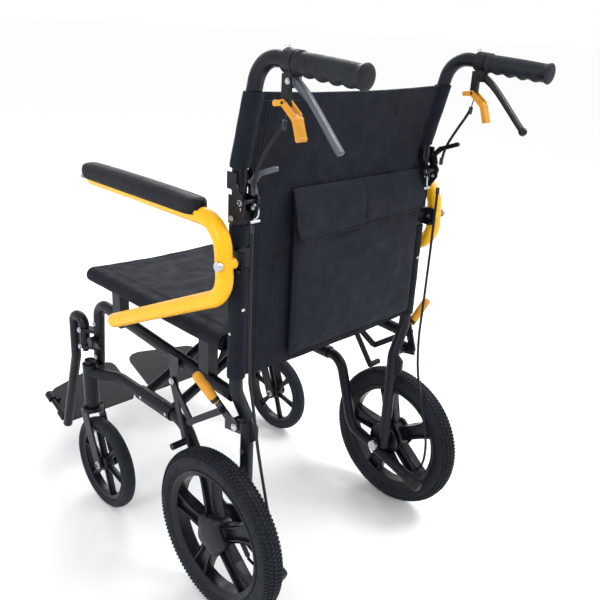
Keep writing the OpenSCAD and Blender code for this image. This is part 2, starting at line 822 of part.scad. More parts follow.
module pivot_bolts() {
    cross_pin(axle_in_x, axle_out_x, [0, wheel_r], axle_d);
    cross_pin(axle_in_x - 6, axle_in_x, [0, wheel_r], 20);
    cross_pin(axle_out_x - 6, axle_out_x, [0, wheel_r], 19);
    cross_pin(arm_x - arm_d / 2 - 12.5, arm_x + arm_d / 2 + 1, arm_pivot, pivot_bolt_d);
    cross_pin(arm_x + arm_d / 2 + 0.5, arm_x + arm_d / 2 + 5, arm_pivot, 14);
}

// ---------- scissor brace ----------

// One brace: a sleeve on the near lower rail, two tubes up to the far seat rail
module brace(ys, with_bolt) {
    foot = [rail_x, 0, pivot_z];
    head = [-rail_x, 0, seat_z];
    difference() {
        union() {
            rod([rail_x, sleeve_front_y, pivot_z], [rail_x, sleeve_rear_y, pivot_z], sleeve_d);
            rod([-rail_x, seat_rail_front_y, seat_z], [-rail_x, seat_rail_rear_y, seat_z], tube_d);
            for (y = ys) rod(foot + [0, y, 0], head + [0, y, 0], brace_d);
            if (with_bolt) {
                rod([0, ys[0] - brace_d / 2 - 4, centre_z], [0, ys[1] + brace_d / 2 + 4, centre_z],
                    centre_bolt_d);
                for (y = [ys[0] - brace_d / 2 - 6, ys[1] + brace_d / 2]) translate([0, y, centre_z])
                    rotate([-90, 0, 0]) cylinder(d = 15, h = 6);
            }
        }
        rod([rail_x, sleeve_front_y - 1, pivot_z], [rail_x, sleeve_rear_y + 1, pivot_z],
            tube_d + 2 * running);
        rod([-rail_x, seat_rail_front_y - 1, seat_z], [-rail_x, seat_rail_rear_y + 1, seat_z],
            tube_d - 2 * tube_wall);
        if (!with_bolt) rod([0, -400, centre_z], [0, 0, centre_z], centre_bolt_d + 2 * running);
    }
}

// ---------- fabric ----------

module seat_sling() {
    sleeve = tube_d + 2 * soft_gap + 2 * cloth_t;
    front = -seat_front_y;
    rear = -26;
    difference() {
        union() {
            for (s = [-1, 1]) rod([s * rail_x, front, seat_z], [s * rail_x, rear, seat_z], sleeve);
            translate([-rail_x, front, seat_z + tube_r + soft_gap + cloth_t - seat_t])
                cube([2 * rail_x, rear - front, seat_t]);
        }
        for (s = [-1, 1]) {
            rod([s * rail_x, front - 1, seat_z], [s * rail_x, rear + 1, seat_z], tube_d + 2 * soft_gap);
            for (y = saddle_ys) translate([s * rail_x - 20, y - saddle_l / 2 - 1.5, seat_z - 30])
                cube([40, saddle_l + 3, 30]);
            for (y = [brace_a_ys[1], brace_b_ys[1], brace_b_ys[0], brace_a_ys[0]])
                translate([s * rail_x - 20, y - brace_d / 2 - 1, seat_z - 30])
                    cube([40, brace_d + 2, 37]);
        }
    }
}

module back_panel(low, high) {
    translate([-cane_x, cane_y - back_t / 2, low]) cube([2 * cane_x, back_t, high - low]);
}

module cane_sleeve(low, high, path, path_r) {
    for (s = [0, 1]) mirror([s, 0, 0]) intersection() {
        bent(path, path_r, tube_d + 2 * soft_gap + 2 * cloth_t);
        translate([0, -100, low]) cube([400, 400, high - low]);
    }
}

module back_sling_lower() {
    arm_low_z = arm_pivot[1] - 17;
    difference() {
        union() {
            back_panel(back_low_z, fold_z - crease_gap);
            cane_sleeve(back_low_z, hinge_z - 38, post_path, 40);
        }
        for (s = [0, 1]) mirror([s, 0, 0]) {
            bent(post_path, 40, tube_d + 2 * soft_gap);
            translate([cane_x - 15, -30, arm_low_z]) cube([40, 80, 34]);
            translate([cane_x - 18, -30, hinge_z - 37]) cube([40, 80, 60]);
        }
    }
}

module back_sling_upper() {
    difference() {
        union() {
            translate([0, 0, fold_z + crease_gap]) upper_panel();
            cane_sleeve(fold_z + 34, back_top_z, cane_path, 42);
        }
        for (s = [0, 1]) mirror([s, 0, 0]) {
            bent(cane_path, 42, tube_d + 2 * soft_gap);
            translate([cane_x - 19, -30, fold_z - 5]) cube([40, 80, 37]);
        }
    }
}

// The upper panel leans with the canes
module upper_panel() {
    lean = cane_top[1] - cane_y;
    rise = handle_z - cane_knee[2];
    top = back_top_z - fold_z - crease_gap;
    knee = cane_knee[2] - fold_z - crease_gap;
    half = back_t / 2;
    at = lean * (top - knee) / rise;
    translate([-cane_x, 0, 0]) rotate([90, 0, 90]) linear_extrude(2 * cane_x)
        polygon([[cane_y - half, 0], [cane_y + half, 0], [cane_y + half, knee],
            [cane_y + half + at, top], [cane_y - half + at, top], [cane_y - half, knee]]);
}

module back_pocket() {
    w = pocket_left_x - pocket_right_x;
    translate([pocket_right_x, cane_y + back_t / 2 + 0.1 + pocket_t, pocket_low_z])
        rotate([90, 0, 0]) round_slab([w, pocket_high_z - pocket_low_z, pocket_t], 14);
}

// ---------- nodes ----------

metal = "#1c1e22";
plastic = "#2a2b2e";
cloth = "#15161a";
yellow = "#f7b21a";
ochre = "#d99a1c";
silver = "#c4c6c9";

color(metal) left() side_frame();  // side_frame_left
color(metal) right() side_frame();  // side_frame_right
color(metal) left() back_post();  // back_post_left
color(metal) right() back_post();  // back_post_right
color(plastic) left() back_hinge();  // back_hinge_left
color(plastic) right() back_hinge();  // back_hinge_right
color(metal) left() cane();  // cane_left
color(metal) right() cane();  // cane_right
color(plastic) left() grip();  // grip_left
color(plastic) right() grip();  // grip_right
color(plastic) left() lever_clamp();  // lever_clamp_left
color(plastic) right() lever_clamp();  // lever_clamp_right
color(metal) left() brake_lever();  // brake_lever_left
color(metal) right() brake_lever();  // brake_lever_right
color(ochre) left() lock_latch();  // lock_latch_left
color(ochre) right() lock_latch();  // lock_latch_right
color(plastic) left() back_latch();  // back_latch_left
color(plastic) right() back_latch();  // back_latch_right
color(yellow) left() arm_tube();  // arm_tube_left
color(yellow) right() arm_tube();  // arm_tube_right
color(cloth) left() arm_pad();  // arm_pad_left
color(cloth) right() arm_pad();  // arm_pad_right
color(metal) left() hanger();  // hanger_left
color(metal) right() hanger();  // hanger_right
color(plastic) left() hanger_latch();  // hanger_latch_left
color(plastic) right() hanger_latch();  // hanger_latch_right
color(plastic) left() footplate();  // footplate_left
color(plastic) right() footplate();  // footplate_right
color(metal) left() caster_fork();  // caster_fork_left
color(metal) right() caster_fork();  // caster_fork_right
color(plastic) left() caster_rim();  // caster_rim_left
color(plastic) right() caster_rim();  // caster_rim_right
color(cloth) left() caster_tyre();  // caster_tyre_left
color(cloth) right() caster_tyre();  // caster_tyre_right
color(plastic) left() rear_rim();  // rear_rim_left
color(plastic) right() rear_rim();  // rear_rim_right
color(cloth) left() rear_tyre();  // rear_tyre_left
color(cloth) right() rear_tyre();  // rear_tyre_right
color(silver) left() drum_plate();  // drum_plate_left
color(silver) right() drum_plate();  // drum_plate_right
color(ochre) left() parking_lever();  // parking_lever_left
color(ochre) right() set_lever();  // parking_lever_right
color(metal) left() parking_link();  // parking_link_left
color(metal) right() set_link();  // parking_link_right
color(metal) left() parking_shoe();  // parking_shoe_left
color(metal) right() set_shoe();  // parking_shoe_right
color(plastic) left() cord(upper_cable, cable_d, 3);  // upper_cable_left
color(plastic) right() cord(upper_cable, cable_d, 3);  // upper_cable_right
color(plastic) left() cord(lower_cable, cable_d, 4);  // lower_cable_left
color(plastic) right() cord(lower_cable, cable_d, 4);  // lower_cable_right
color(metal) left() brake_bracket();  // brake_bracket_left
color(metal) right() brake_bracket();  // brake_bracket_right
color(silver) left() pivot_bolts();  // pivot_bolts_left
color(silver) right() pivot_bolts();  // pivot_bolts_right
color(metal) left() brace(brace_a_ys, true);  // brace_a
color(metal) right() brace(brace_b_ys, false);  // brace_b
color(cloth) left() seat_sling();
color(cloth) left() back_sling_lower();
color(cloth) left() back_sling_upper();
color(cloth) left() back_pocket();
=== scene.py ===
"""Looks of the folding transit wheelchair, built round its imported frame."""

from __future__ import annotations

import json
import logging
import math
from dataclasses import dataclass
from enum import Enum
from typing import Callable, Iterable, Sequence

import bmesh
import bpy
import numpy as np
from mathutils import Matrix, Vector, noise
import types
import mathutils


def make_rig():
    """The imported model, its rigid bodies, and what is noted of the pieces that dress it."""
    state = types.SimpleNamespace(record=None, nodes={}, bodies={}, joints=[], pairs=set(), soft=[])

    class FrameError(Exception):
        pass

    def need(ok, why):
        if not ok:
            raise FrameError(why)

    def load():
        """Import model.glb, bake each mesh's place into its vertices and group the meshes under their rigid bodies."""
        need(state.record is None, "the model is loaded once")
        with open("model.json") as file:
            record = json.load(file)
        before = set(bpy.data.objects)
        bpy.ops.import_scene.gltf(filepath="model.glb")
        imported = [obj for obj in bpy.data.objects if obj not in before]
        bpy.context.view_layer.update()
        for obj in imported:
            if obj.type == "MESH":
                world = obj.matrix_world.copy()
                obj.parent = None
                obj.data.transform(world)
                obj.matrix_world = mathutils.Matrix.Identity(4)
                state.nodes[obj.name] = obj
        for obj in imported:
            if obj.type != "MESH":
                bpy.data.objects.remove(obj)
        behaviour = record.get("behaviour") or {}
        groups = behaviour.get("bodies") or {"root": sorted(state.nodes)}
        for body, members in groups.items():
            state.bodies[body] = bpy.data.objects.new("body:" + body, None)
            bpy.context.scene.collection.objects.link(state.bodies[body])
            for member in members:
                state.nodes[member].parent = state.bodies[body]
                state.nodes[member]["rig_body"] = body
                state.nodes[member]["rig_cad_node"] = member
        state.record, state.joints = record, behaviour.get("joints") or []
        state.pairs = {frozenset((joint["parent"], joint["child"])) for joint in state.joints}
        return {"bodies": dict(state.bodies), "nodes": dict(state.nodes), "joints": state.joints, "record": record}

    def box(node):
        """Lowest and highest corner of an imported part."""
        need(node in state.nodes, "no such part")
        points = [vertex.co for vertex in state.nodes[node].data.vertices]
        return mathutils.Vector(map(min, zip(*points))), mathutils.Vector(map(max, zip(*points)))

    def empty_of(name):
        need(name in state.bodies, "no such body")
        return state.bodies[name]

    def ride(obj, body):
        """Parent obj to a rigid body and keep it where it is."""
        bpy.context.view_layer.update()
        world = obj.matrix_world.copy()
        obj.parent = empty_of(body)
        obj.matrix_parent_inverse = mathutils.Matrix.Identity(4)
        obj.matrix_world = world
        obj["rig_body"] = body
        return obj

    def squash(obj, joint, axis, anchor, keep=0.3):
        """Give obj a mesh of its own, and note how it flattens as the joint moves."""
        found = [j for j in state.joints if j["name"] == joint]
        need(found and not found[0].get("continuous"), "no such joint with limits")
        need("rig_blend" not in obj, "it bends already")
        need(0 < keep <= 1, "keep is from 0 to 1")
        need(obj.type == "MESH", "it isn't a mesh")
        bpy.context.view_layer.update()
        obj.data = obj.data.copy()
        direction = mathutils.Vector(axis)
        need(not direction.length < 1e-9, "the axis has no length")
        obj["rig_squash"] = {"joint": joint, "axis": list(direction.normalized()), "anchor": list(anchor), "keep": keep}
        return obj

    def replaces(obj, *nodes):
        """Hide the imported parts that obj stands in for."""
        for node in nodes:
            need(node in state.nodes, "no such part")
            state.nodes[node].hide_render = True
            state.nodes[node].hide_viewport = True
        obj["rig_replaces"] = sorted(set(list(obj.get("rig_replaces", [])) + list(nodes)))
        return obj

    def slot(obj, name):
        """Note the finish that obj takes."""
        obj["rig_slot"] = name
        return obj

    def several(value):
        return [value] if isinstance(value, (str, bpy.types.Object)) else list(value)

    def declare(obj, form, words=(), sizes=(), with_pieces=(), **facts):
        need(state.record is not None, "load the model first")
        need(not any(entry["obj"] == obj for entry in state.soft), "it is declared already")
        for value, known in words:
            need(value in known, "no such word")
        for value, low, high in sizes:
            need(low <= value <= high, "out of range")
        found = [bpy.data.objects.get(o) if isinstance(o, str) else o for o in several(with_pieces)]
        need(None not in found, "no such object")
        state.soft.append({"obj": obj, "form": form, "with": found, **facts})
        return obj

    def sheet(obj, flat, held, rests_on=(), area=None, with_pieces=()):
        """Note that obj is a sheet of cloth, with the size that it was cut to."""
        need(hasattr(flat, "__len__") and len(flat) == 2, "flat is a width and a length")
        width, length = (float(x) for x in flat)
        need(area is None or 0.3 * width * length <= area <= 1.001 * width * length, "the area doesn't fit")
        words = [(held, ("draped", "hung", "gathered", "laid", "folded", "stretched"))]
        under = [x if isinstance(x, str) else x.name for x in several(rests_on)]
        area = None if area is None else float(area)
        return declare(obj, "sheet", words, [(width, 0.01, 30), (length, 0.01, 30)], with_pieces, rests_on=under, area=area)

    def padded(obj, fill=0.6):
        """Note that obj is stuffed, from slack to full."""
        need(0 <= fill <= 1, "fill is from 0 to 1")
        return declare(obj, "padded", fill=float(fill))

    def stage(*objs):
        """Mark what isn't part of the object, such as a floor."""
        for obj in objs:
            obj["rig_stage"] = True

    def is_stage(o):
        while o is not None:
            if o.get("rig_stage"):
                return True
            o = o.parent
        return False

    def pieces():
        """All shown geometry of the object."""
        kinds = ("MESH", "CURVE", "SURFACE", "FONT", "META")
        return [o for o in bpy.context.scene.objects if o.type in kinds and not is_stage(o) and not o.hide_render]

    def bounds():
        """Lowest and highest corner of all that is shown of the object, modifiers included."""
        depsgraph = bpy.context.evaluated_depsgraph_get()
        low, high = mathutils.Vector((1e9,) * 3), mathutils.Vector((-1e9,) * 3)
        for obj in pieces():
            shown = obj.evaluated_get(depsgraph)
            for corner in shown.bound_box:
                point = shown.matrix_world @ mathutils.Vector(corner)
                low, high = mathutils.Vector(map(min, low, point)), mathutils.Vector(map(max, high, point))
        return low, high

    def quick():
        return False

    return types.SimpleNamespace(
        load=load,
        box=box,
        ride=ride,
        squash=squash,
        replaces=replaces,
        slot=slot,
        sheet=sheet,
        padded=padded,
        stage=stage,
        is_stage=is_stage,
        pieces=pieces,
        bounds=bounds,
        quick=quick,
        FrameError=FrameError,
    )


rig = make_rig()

LOG = logging.getLogger("wheelchair")
MM = 0.001
SIZE_FILE = "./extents.json"
EDGE_STEPS = 3  # rings on each rounded edge of a plate
GRAIN = (0.3, 0.7)  # the part of a noise's range that its ramps use

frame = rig.load()
CAD_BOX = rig.bounds()

Point = Sequence[float]


class Side(Enum):
    """The sitter's side that a piece is on, with the sign of its X."""

    LEFT = 1
    RIGHT = -1

    @property
    def word(self) -> str:
        """The side's name, as it ends a node's name."""
        return self.name.lower()


# ---------- where things are ----------


@dataclass(frozen=True)
class Datum:
    """The point on the floor under the rear axle, from which sizes are given in millimetres."""

    axle_y: float

    @classmethod
    def from_frame(cls) -> Datum:
        """Reads the axle's place from the rear tyre's box."""
        low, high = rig.box("rear_tyre_left")
        return cls((low.y + high.y) / 2)

    def at(self, x: float, y: float, z: float) -> Vector:
        """The point in the row frame, in metres.

        Args:
            x: Millimetres to the sitter's left.
            y: Millimetres behind the rear axle.
            z: Millimetres above the floor.

        Returns:
            The point in metres.
        """
        return Vector((x * MM, y * MM + self.axle_y, z * MM))


DATUM = Datum.from_frame()


# ---------- shapes ----------


def catmull(points: Sequence[Point], steps: int) -> list[Vector]:
    """A smooth line through points.

    Args:
        points: The points it passes.
        steps: New points for each stretch.

    Returns:
        The line's points.
    """
    p = [Vector(q) for q in points]
    out: list[Vector] = []
    for i in range(len(p) - 1):
        a, b, c, d = p[max(i - 1, 0)], p[i], p[i + 1], p[min(i + 2, len(p) - 1)]
        for k in range(steps):
            t = k / steps
            out.append(
                0.5
                * (
                    2 * b
                    + (c - a) * t
                    + (2 * a - 5 * b + 4 * c - d) * t * t
                    + (3 * b - a - 3 * c + d) * t**3
                )
            )
    out.append(p[-1])
    return out


def rounded(outline: Sequence[Point], radius: float, steps: int = 4) -> list[tuple[float, float]]:
    """An outline with its corners rounded.

    Args:
        outline: Corners in the plane.
        radius: Radius of each corner, less where an edge is short.
        steps: Points on each corner, less one.

    Returns:
        The new outline.
    """
    out: list[tuple[float, float]] = []
    count = len(outline)
    for i in range(count):
        a, b, c = (Vector((*outline[(i + k) % count], 0)) for k in (-1, 0, 1))
        reach = min(radius, (a - b).length * 0.45, (c - b).length * 0.45)
        start, end = b + (a - b).normalized() * reach, b + (c - b).normalized() * reach
        for k in range(steps + 1):
            t = k / steps
            q = start * (1 - t) ** 2 + b * 2 * t * (1 - t) + end * t * t
            out.append((q.x, q.y))
    return out


def ribbon(centres: Sequence[Point], halves: Sequence[float]) -> list[tuple[float, float]]:
    """The outline of a strip that follows a line in the plane, with round ends.

    Args:
        centres: Points of its middle line.
        halves: Half of its width at each point.

    Returns:
        The outline, anticlockwise.
    """
    c = [Vector((*p, 0)) for p in centres]
    left, right = [], []
    for i, p in enumerate(c):
        way = (c[min(i + 1, len(c) - 1)] - c[max(i - 1, 0)]).normalized()
        across = Vector((-way.y, way.x, 0)) * halves[i]
        left.append(p + across)
        right.append(p - across)
    head = c[-1] + (c[-1] - c[-2]).normalized() * halves[-1]
    tail = c[0] - (c[1] - c[0]).normalized() * halves[0]
    ring = right + [head] + left[::-1] + [tail]
    return rounded([(p.x, p.y) for p in ring], min(halves) * 0.9, 3)


def turned_frame(at: Vector, along: Vector, hint: Vector = Vector((1, 0, 0))) -> Matrix:
    """A frame whose Z runs along a direction.

    Args:
        at: Its origin.
        along: The direction of its Z.
        hint: The direction that its X is nearest to.

    Returns:
        The matrix.
    """
    z = along.normalized()
    if abs(z.dot(hint.normalized())) > 0.95:
        hint = Vector((0, 1, 0))
    x = (hint - z * z.dot(hint)).normalized()
    y = z.cross(x)
    return Matrix.Translation(at) @ Matrix((x, y, z)).transposed().to_4x4()


class Shape:
    """Faces gathered into one mesh. Points are in metres, in the row frame."""

    def __init__(self) -> None:
        """Starts with no faces."""
        self.verts: list[Vector] = []
        self.faces: list[tuple[int, ...]] = []
        self.marks: list[int] = []
        self.place = Matrix.Identity(4)

    def add(self, verts: Iterable[Vector], faces: Iterable[Sequence[int]], mark: int = 0) -> Shape:
        """Adds faces.

        Args:
            verts: Corner points, in this shape's place.
            faces: Corner numbers of each face.
            mark: Which finish they take.

        Returns:
            The shape.
        """
        base = len(self.verts)
        self.verts += [self.place @ Vector(v) for v in verts]
        for f in faces:
            self.faces.append(tuple(base + i for i in f))
            self.marks.append(mark)
        return self

    def loft(self, rings: Sequence[Sequence[Vector]], mark: int = 0, closed: bool = False) -> Shape:
        """Joins closed rings of equal length one after another.

        Args:
            rings: Rings of points.
            mark: Which finish they take.
            closed: Whether the last ring joins the first, or both ends are capped.

        Returns:
            The shape.
        """
        n, count = len(rings[0]), len(rings)
        faces: list[tuple[int, ...]] = []
        for i in range(count if closed else count - 1):
            j = (i + 1) % count
            faces += [(i * n + k, i * n + (k + 1) % n, j * n + (k + 1) % n, j * n + k) for k in range(n)]
        if not closed:
            faces += [tuple(reversed(range(n))), tuple((count - 1) * n + k for k in range(n))]
        return self.add([p for r in rings for p in r], faces, mark)

    def tube(
        self,
        points: Sequence[Vector],
        radius: float | Callable[[float], float],
        sides: int = 14,
        mark: int = 0,
        flat: float = 1.0,
        closed: bool = False,
    ) -> Shape:
        """A round or oval bar along points.

        Args:
            points: Its middle line, in metres.
            radius: Its radius in metres, or a function of the share of its way.
            sides: Points in each ring.
            mark: Which finish it takes.
            flat: Its second radius as a share of its first.
            closed: Whether it closes on itself.

        Returns:
            The shape.
        """
        rings = []
        count = len(points)
        across = Vector((1, 0, 0))
        for i, p in enumerate(points):
            if closed:
                way = points[(i + 1) % count] - points[i - 1]
            else:
                way = points[min(i + 1, count - 1)] - points[max(i - 1, 0)]
            way.normalize()
            if i == 0 and abs(way.dot(across)) > 0.9:
                across = Vector((0, 0, 1))
            across = (across - way * way.dot(across)).normalized()
            other = way.cross(across)
            r = radius(i / max(count - 1, 1)) if callable(radius) else radius
            rings.append(
                [
                    p + across * r * math.cos(2 * math.pi * k / sides) * flat
                    + other * r * math.sin(2 * math.pi * k / sides)
                    for k in range(sides)
                ]
            )
        return self.loft(rings, mark, closed)

    def lathe(
        self, profile: Sequence[Point], at: Vector, along: Vector, steps: int = 40, mark: int = 0,
        ring: bool = False,
    ) -> Shape:
        """A turned piece.

        Args:
            profile: Pairs of radius and height in millimetres. Radius 0 closes an end.
            at: The point at height 0.
            along: The direction of height.
            steps: Points in each ring.
            mark: Which finish it takes.
            ring: Whether the profile is a closed loop round a hole.

        Returns:
            The shape.
        """
        m = turned_frame(at, along)
        rings = [
            [
                m @ Vector((max(r, 1e-3) * MM * math.cos(a), max(r, 1e-3) * MM * math.sin(a), h * MM))
                for a in (2 * math.pi * k / steps for k in range(steps))
            ]
            for r, h in profile
        ]
        return self.loft(rings, mark, ring)

    def slab(
        self, outline: Sequence[Point], low: float, high: float, bevel: float = 0.8, mark: int = 0,
        frame_of: Matrix | None = None,
    ) -> Shape:
        """A plate with rounded edges, drawn in the YZ plane and thick along X.

        Args:
            outline: Pairs of Y and Z in millimetres, seen with X towards the eye.
            low: Its first X.
            high: Its last X.
            bevel: Radius of its edges.
            mark: Which finish it takes.
            frame_of: Where its millimetres are placed, the axle's floor point if none.

        Returns:
            The shape.
        """
        area = sum(
            a[0] * b[1] - b[0] * a[1] for a, b in zip(outline, [*outline[1:], outline[0]], strict=True)
        )
        flat = [Vector((p[0], p[1], 0)) for p in (outline if area > 0 else outline[::-1])]
        count = len(flat)

        def inset(by: float) -> list[Vector]:
            """The outline moved inwards.

            Args:
                by: How far, in millimetres.

            Returns:
                Its corners.
            """
            moved = []
            for i, b in enumerate(flat):
                first = (b - flat[i - 1]).normalized()
                second = (flat[(i + 1) % count] - b).normalized()
                n1, n2 = Vector((-first.y, first.x, 0)), Vector((-second.y, second.x, 0))
                mean = n1 + n2
                mean = mean.normalized() if mean.length > 1e-6 else n1
                moved.append(b + mean * by / max(0.5, mean.dot(n1)))
            return moved

        quarter = [math.pi / 2 * k / EDGE_STEPS for k in range(EDGE_STEPS, -1, -1)]
        rings = [(low + bevel * (1 - math.sin(q)), bevel * (1 - math.cos(q))) for q in quarter]
        rings += [(low + high - x, i) for x, i in reversed(rings)]
        m = frame_of or Matrix.Translation(DATUM.at(0, 0, 0))
        made = [[m @ Vector((x * MM, p.x * MM, p.y * MM)) for p in inset(i)] for x, i in rings]
        return self.loft(made, mark)

    def mirrored(self) -> Shape:
        """The same shape on the other side of the centre plane.

        Returns:
            A new shape.
        """
        out = Shape()
        out.verts = [Vector((-v.x, v.y, v.z)) for v in self.verts]
        out.faces = [tuple(reversed(f)) for f in self.faces]
        out.marks = list(self.marks)
        return out

    def on(self, side: Side) -> Shape:
        """This shape, drawn on the left, on a side."""
        return self if side is Side.LEFT else self.mirrored()

    def piece(self, name: str, *finishes: bpy.types.Material, smooth: float = 40) -> bpy.types.Object:
        """Makes the object.

        Args:
            name: Its name.
            finishes: The material of each mark.
            smooth: Edges sharper than this many degrees stay sharp.

        Returns:
            The object, at the origin.
        """
        mesh = bpy.data.meshes.new(name)
        mesh.from_pydata([tuple(v) for v in self.verts], [], self.faces)
        mesh.update()
        obj = bpy.data.objects.new(name, mesh)
        bpy.context.scene.collection.objects.link(obj)
        for m in finishes:
            mesh.materials.append(m)
        mesh.polygons.foreach_set("material_index", self.marks)
        mesh.polygons.foreach_set("use_smooth", [True] * len(mesh.polygons))
        mesh.set_sharp_from_angle(angle=math.radians(smooth))
        mesh.validate()
        return obj


def baked(obj: bpy.types.Object) -> bpy.types.Object:
    """Turns an object's modifiers into plain mesh.

    Args:
        obj: The object.

    Returns:
        The same object, with no modifier.
    """
    bpy.context.view_layer.update()
    graph = bpy.context.evaluated_depsgraph_get()
    mesh = bpy.data.meshes.new_from_object(obj.evaluated_get(graph), depsgraph=graph)
    obj.modifiers.clear()
    old, obj.data = obj.data, mesh
    mesh.name = obj.name
    bpy.data.meshes.remove(old)
    return obj


def softened(obj: bpy.types.Object, levels: int = 1) -> bpy.types.Object:
    """Adds subdivision and bakes it.

    Args:
        obj: The object.
        levels: Subdivision levels.

    Returns:
        The object.
    """
    mod = obj.modifiers.new("smooth", "SUBSURF")
    mod.levels = mod.render_levels = levels
    return baked(obj)


def recalculated(obj: bpy.types.Object) -> bpy.types.Object:
    """Turns a closed mesh's faces outwards.

    Args:
        obj: The piece.

    Returns:
        The piece.
    """
    work = bmesh.new()
    work.from_mesh(obj.data)
    bmesh.ops.remove_doubles(work, verts=work.verts, dist=1e-6)
    bmesh.ops.recalc_face_normals(work, faces=work.faces)
    work.to_mesh(obj.data)
    work.free()
    return obj


def seat_on(obj: bpy.types.Object, body: str, slot: str, *nodes: str) -> bpy.types.Object:
    """Sets a piece on its body and logs it.

    Args:
        obj: The piece.
        body: The CAD body it moves with.
        slot: The record's material slot.
        nodes: CAD nodes it stands for.

    Returns:
        The piece.
    """
    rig.ride(obj, body)
    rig.slot(obj, slot)
    if nodes:
        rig.replaces(obj, *nodes)
    LOG.info("%s on %s, %d faces", obj.name, body, len(obj.data.polygons))
    return obj


# ---------- finishes ----------


class Graph:
    """A node tree, with short calls to fill it."""

    tree: bpy.types.NodeTree

    def node(
        self, kind: str, inputs: dict[str | int, object] | None = None, **settings: object
    ) -> bpy.types.Node:
        """Adds a node.

        Args:
            kind: The node's type.
            inputs: Values or sockets for its inputs.
            settings: Attributes of the node.

        Returns:
            The node.
        """
        made = self.tree.nodes.new(kind)
        for key, value in settings.items():
            setattr(made, key, value)
        for key, value in (inputs or {}).items():
            if isinstance(value, bpy.types.NodeSocket):
                self.tree.links.new(value, made.inputs[key])
            else:
                made.inputs[key].default_value = value
        return made

    def math(self, operation: str, a: object, b: object = 0.0) -> bpy.types.NodeSocket:
        """A sum of two numbers."""
        return self.node("ShaderNodeMath", {0: a, 1: b}, operation=operation).outputs[0]


class Nodes(Graph):
    """A material's nodes."""

    def __init__(self, name: str) -> None:
        """Makes the material with one surface shader.

        Args:
            name: The material's name.
        """
        self.material = bpy.data.materials.new(name)
        self.material.use_nodes = True
        self.tree = self.material.node_tree
        self.shader = next(n for n in self.tree.nodes if n.type == "BSDF_PRINCIPLED")
        self.where = self.tree.nodes.new("ShaderNodeTexCoord").outputs["Object"]

    def sockets(self, **values: object) -> None:
        """Sets the shader's own sockets.

        Args:
            values: A value or socket for each, with its name's spaces as underscores.
        """
        for key, value in values.items():
            socket = self.shader.inputs[key.replace("_", " ")]
            if isinstance(value, bpy.types.NodeSocket):
                self.tree.links.new(value, socket)
            else:
                socket.default_value = value

    def grain(
        self, scale: float, detail: float = 4, stretch: Point | None = None, rough: float = 0.55
    ) -> bpy.types.NodeSocket:
        """A noise on object coordinates.

        Args:
            scale: Its lumps in a metre.
            detail: How many finer layers it has.
            stretch: Scales along the axes, if it is drawn out.
            rough: How strong the finer layers are.

        Returns:
            Its strength, from 0 to 1.
        """
        where = self.where
        if stretch:
            where = self.node("ShaderNodeMapping", {"Vector": where, "Scale": stretch}).outputs[0]
        return self.node(
            "ShaderNodeTexNoise",
            {"Vector": where, "Scale": scale, "Detail": detail, "Roughness": rough},
        ).outputs["Fac"]

    def ramp(
        self, fac: bpy.types.NodeSocket, low: float, high: float, a: Point, b: Point
    ) -> bpy.types.NodeSocket:
        """A colour that follows a number.

        Args:
            fac: The number.
            low: Where the first colour ends.
            high: Where the second colour starts.
            a: The first colour.
            b: The second colour.

        Returns:
            The colour.
        """
        made = self.node("ShaderNodeValToRGB", {"Fac": fac})
        first, last = made.color_ramp.elements
        first.position, last.position = low, high
        first.color, last.color = (*a, 1), (*b, 1)
        return made.outputs["Color"]

    def span(
        self, fac: bpy.types.NodeSocket, low: float, high: float, a: float, b: float
    ) -> bpy.types.NodeSocket:
        """A number that goes from a to b as fac goes from low to high."""
        ends = {"From Min": low, "From Max": high, "To Min": a, "To Max": b}
        return self.node("ShaderNodeMapRange", {"Value": fac, **ends}).outputs[0]

    def bump(self, layers: Sequence[tuple[object, float, float]]) -> None:
        """Stacks bumps on the shader.

        Args:
            layers: For each, a height from 0 to 1, its depth in metres, and its strength.
        """
        normal = None
        for height, depth, strength in layers:
            inputs = {"Height": height, "Distance": depth, "Strength": strength}
            if normal is not None:
                inputs["Normal"] = normal
            normal = self.node("ShaderNodeBump", inputs).outputs[0]
        self.sockets(Normal=normal)


def shade(colour: Point, by: float) -> tuple[float, float, float]:
    """A colour made lighter or darker."""
    return tuple(min(1.0, c * by) for c in colour)


@dataclass(frozen=True)
class PowderCoat:
    """A powder coat on metal, with its fine orange peel and a little dust."""

    name: str
    colour: tuple[float, float, float]
    rough: float = 0.36
    peel: float = 0.00012
    shine: float = 0.26
    cloud: float = 0.15

    def material(self) -> bpy.types.Material:
        """Builds the material.

        Returns:
            The material.
        """
        n = Nodes(self.name)
        dull, clean = shade(self.colour, 1 - self.cloud), shade(self.colour, 1 + self.cloud)
        n.sockets(
            Base_Color=n.ramp(n.grain(14, 5), *GRAIN, dull, clean),
            Roughness=n.span(n.grain(55, 3), *GRAIN, self.rough - 0.06, self.rough + 0.1),
            Specular_IOR_Level=self.shine,
            Coat_Weight=0.06,
            Coat_Roughness=0.2,
        )
        n.bump([(n.grain(900, 2), self.peel, 0.5), (n.grain(160, 3), 0.0002, 0.2)])
        return n.material


@dataclass(frozen=True)
class Moulded:
    """Moulded plastic with a fine spark texture."""

    name: str
    colour: tuple[float, float, float]
    rough: float = 0.48
    spark: float = 2200
    depth: float = 0.00008

    def material(self) -> bpy.types.Material:
        """Builds the material.

        Returns:
            The material.
        """
        n = Nodes(self.name)
        n.sockets(
            Base_Color=n.ramp(n.grain(30, 4), *GRAIN, shade(self.colour, 0.85), shade(self.colour, 1.18)),
            Roughness=n.span(n.grain(120, 4), *GRAIN, self.rough - 0.08, self.rough + 0.1),
            Specular_IOR_Level=0.26,
        )
        n.bump([(n.grain(self.spark, 2), self.depth, 0.6), (n.grain(90, 2), 0.0003, 0.12)])
        return n.material


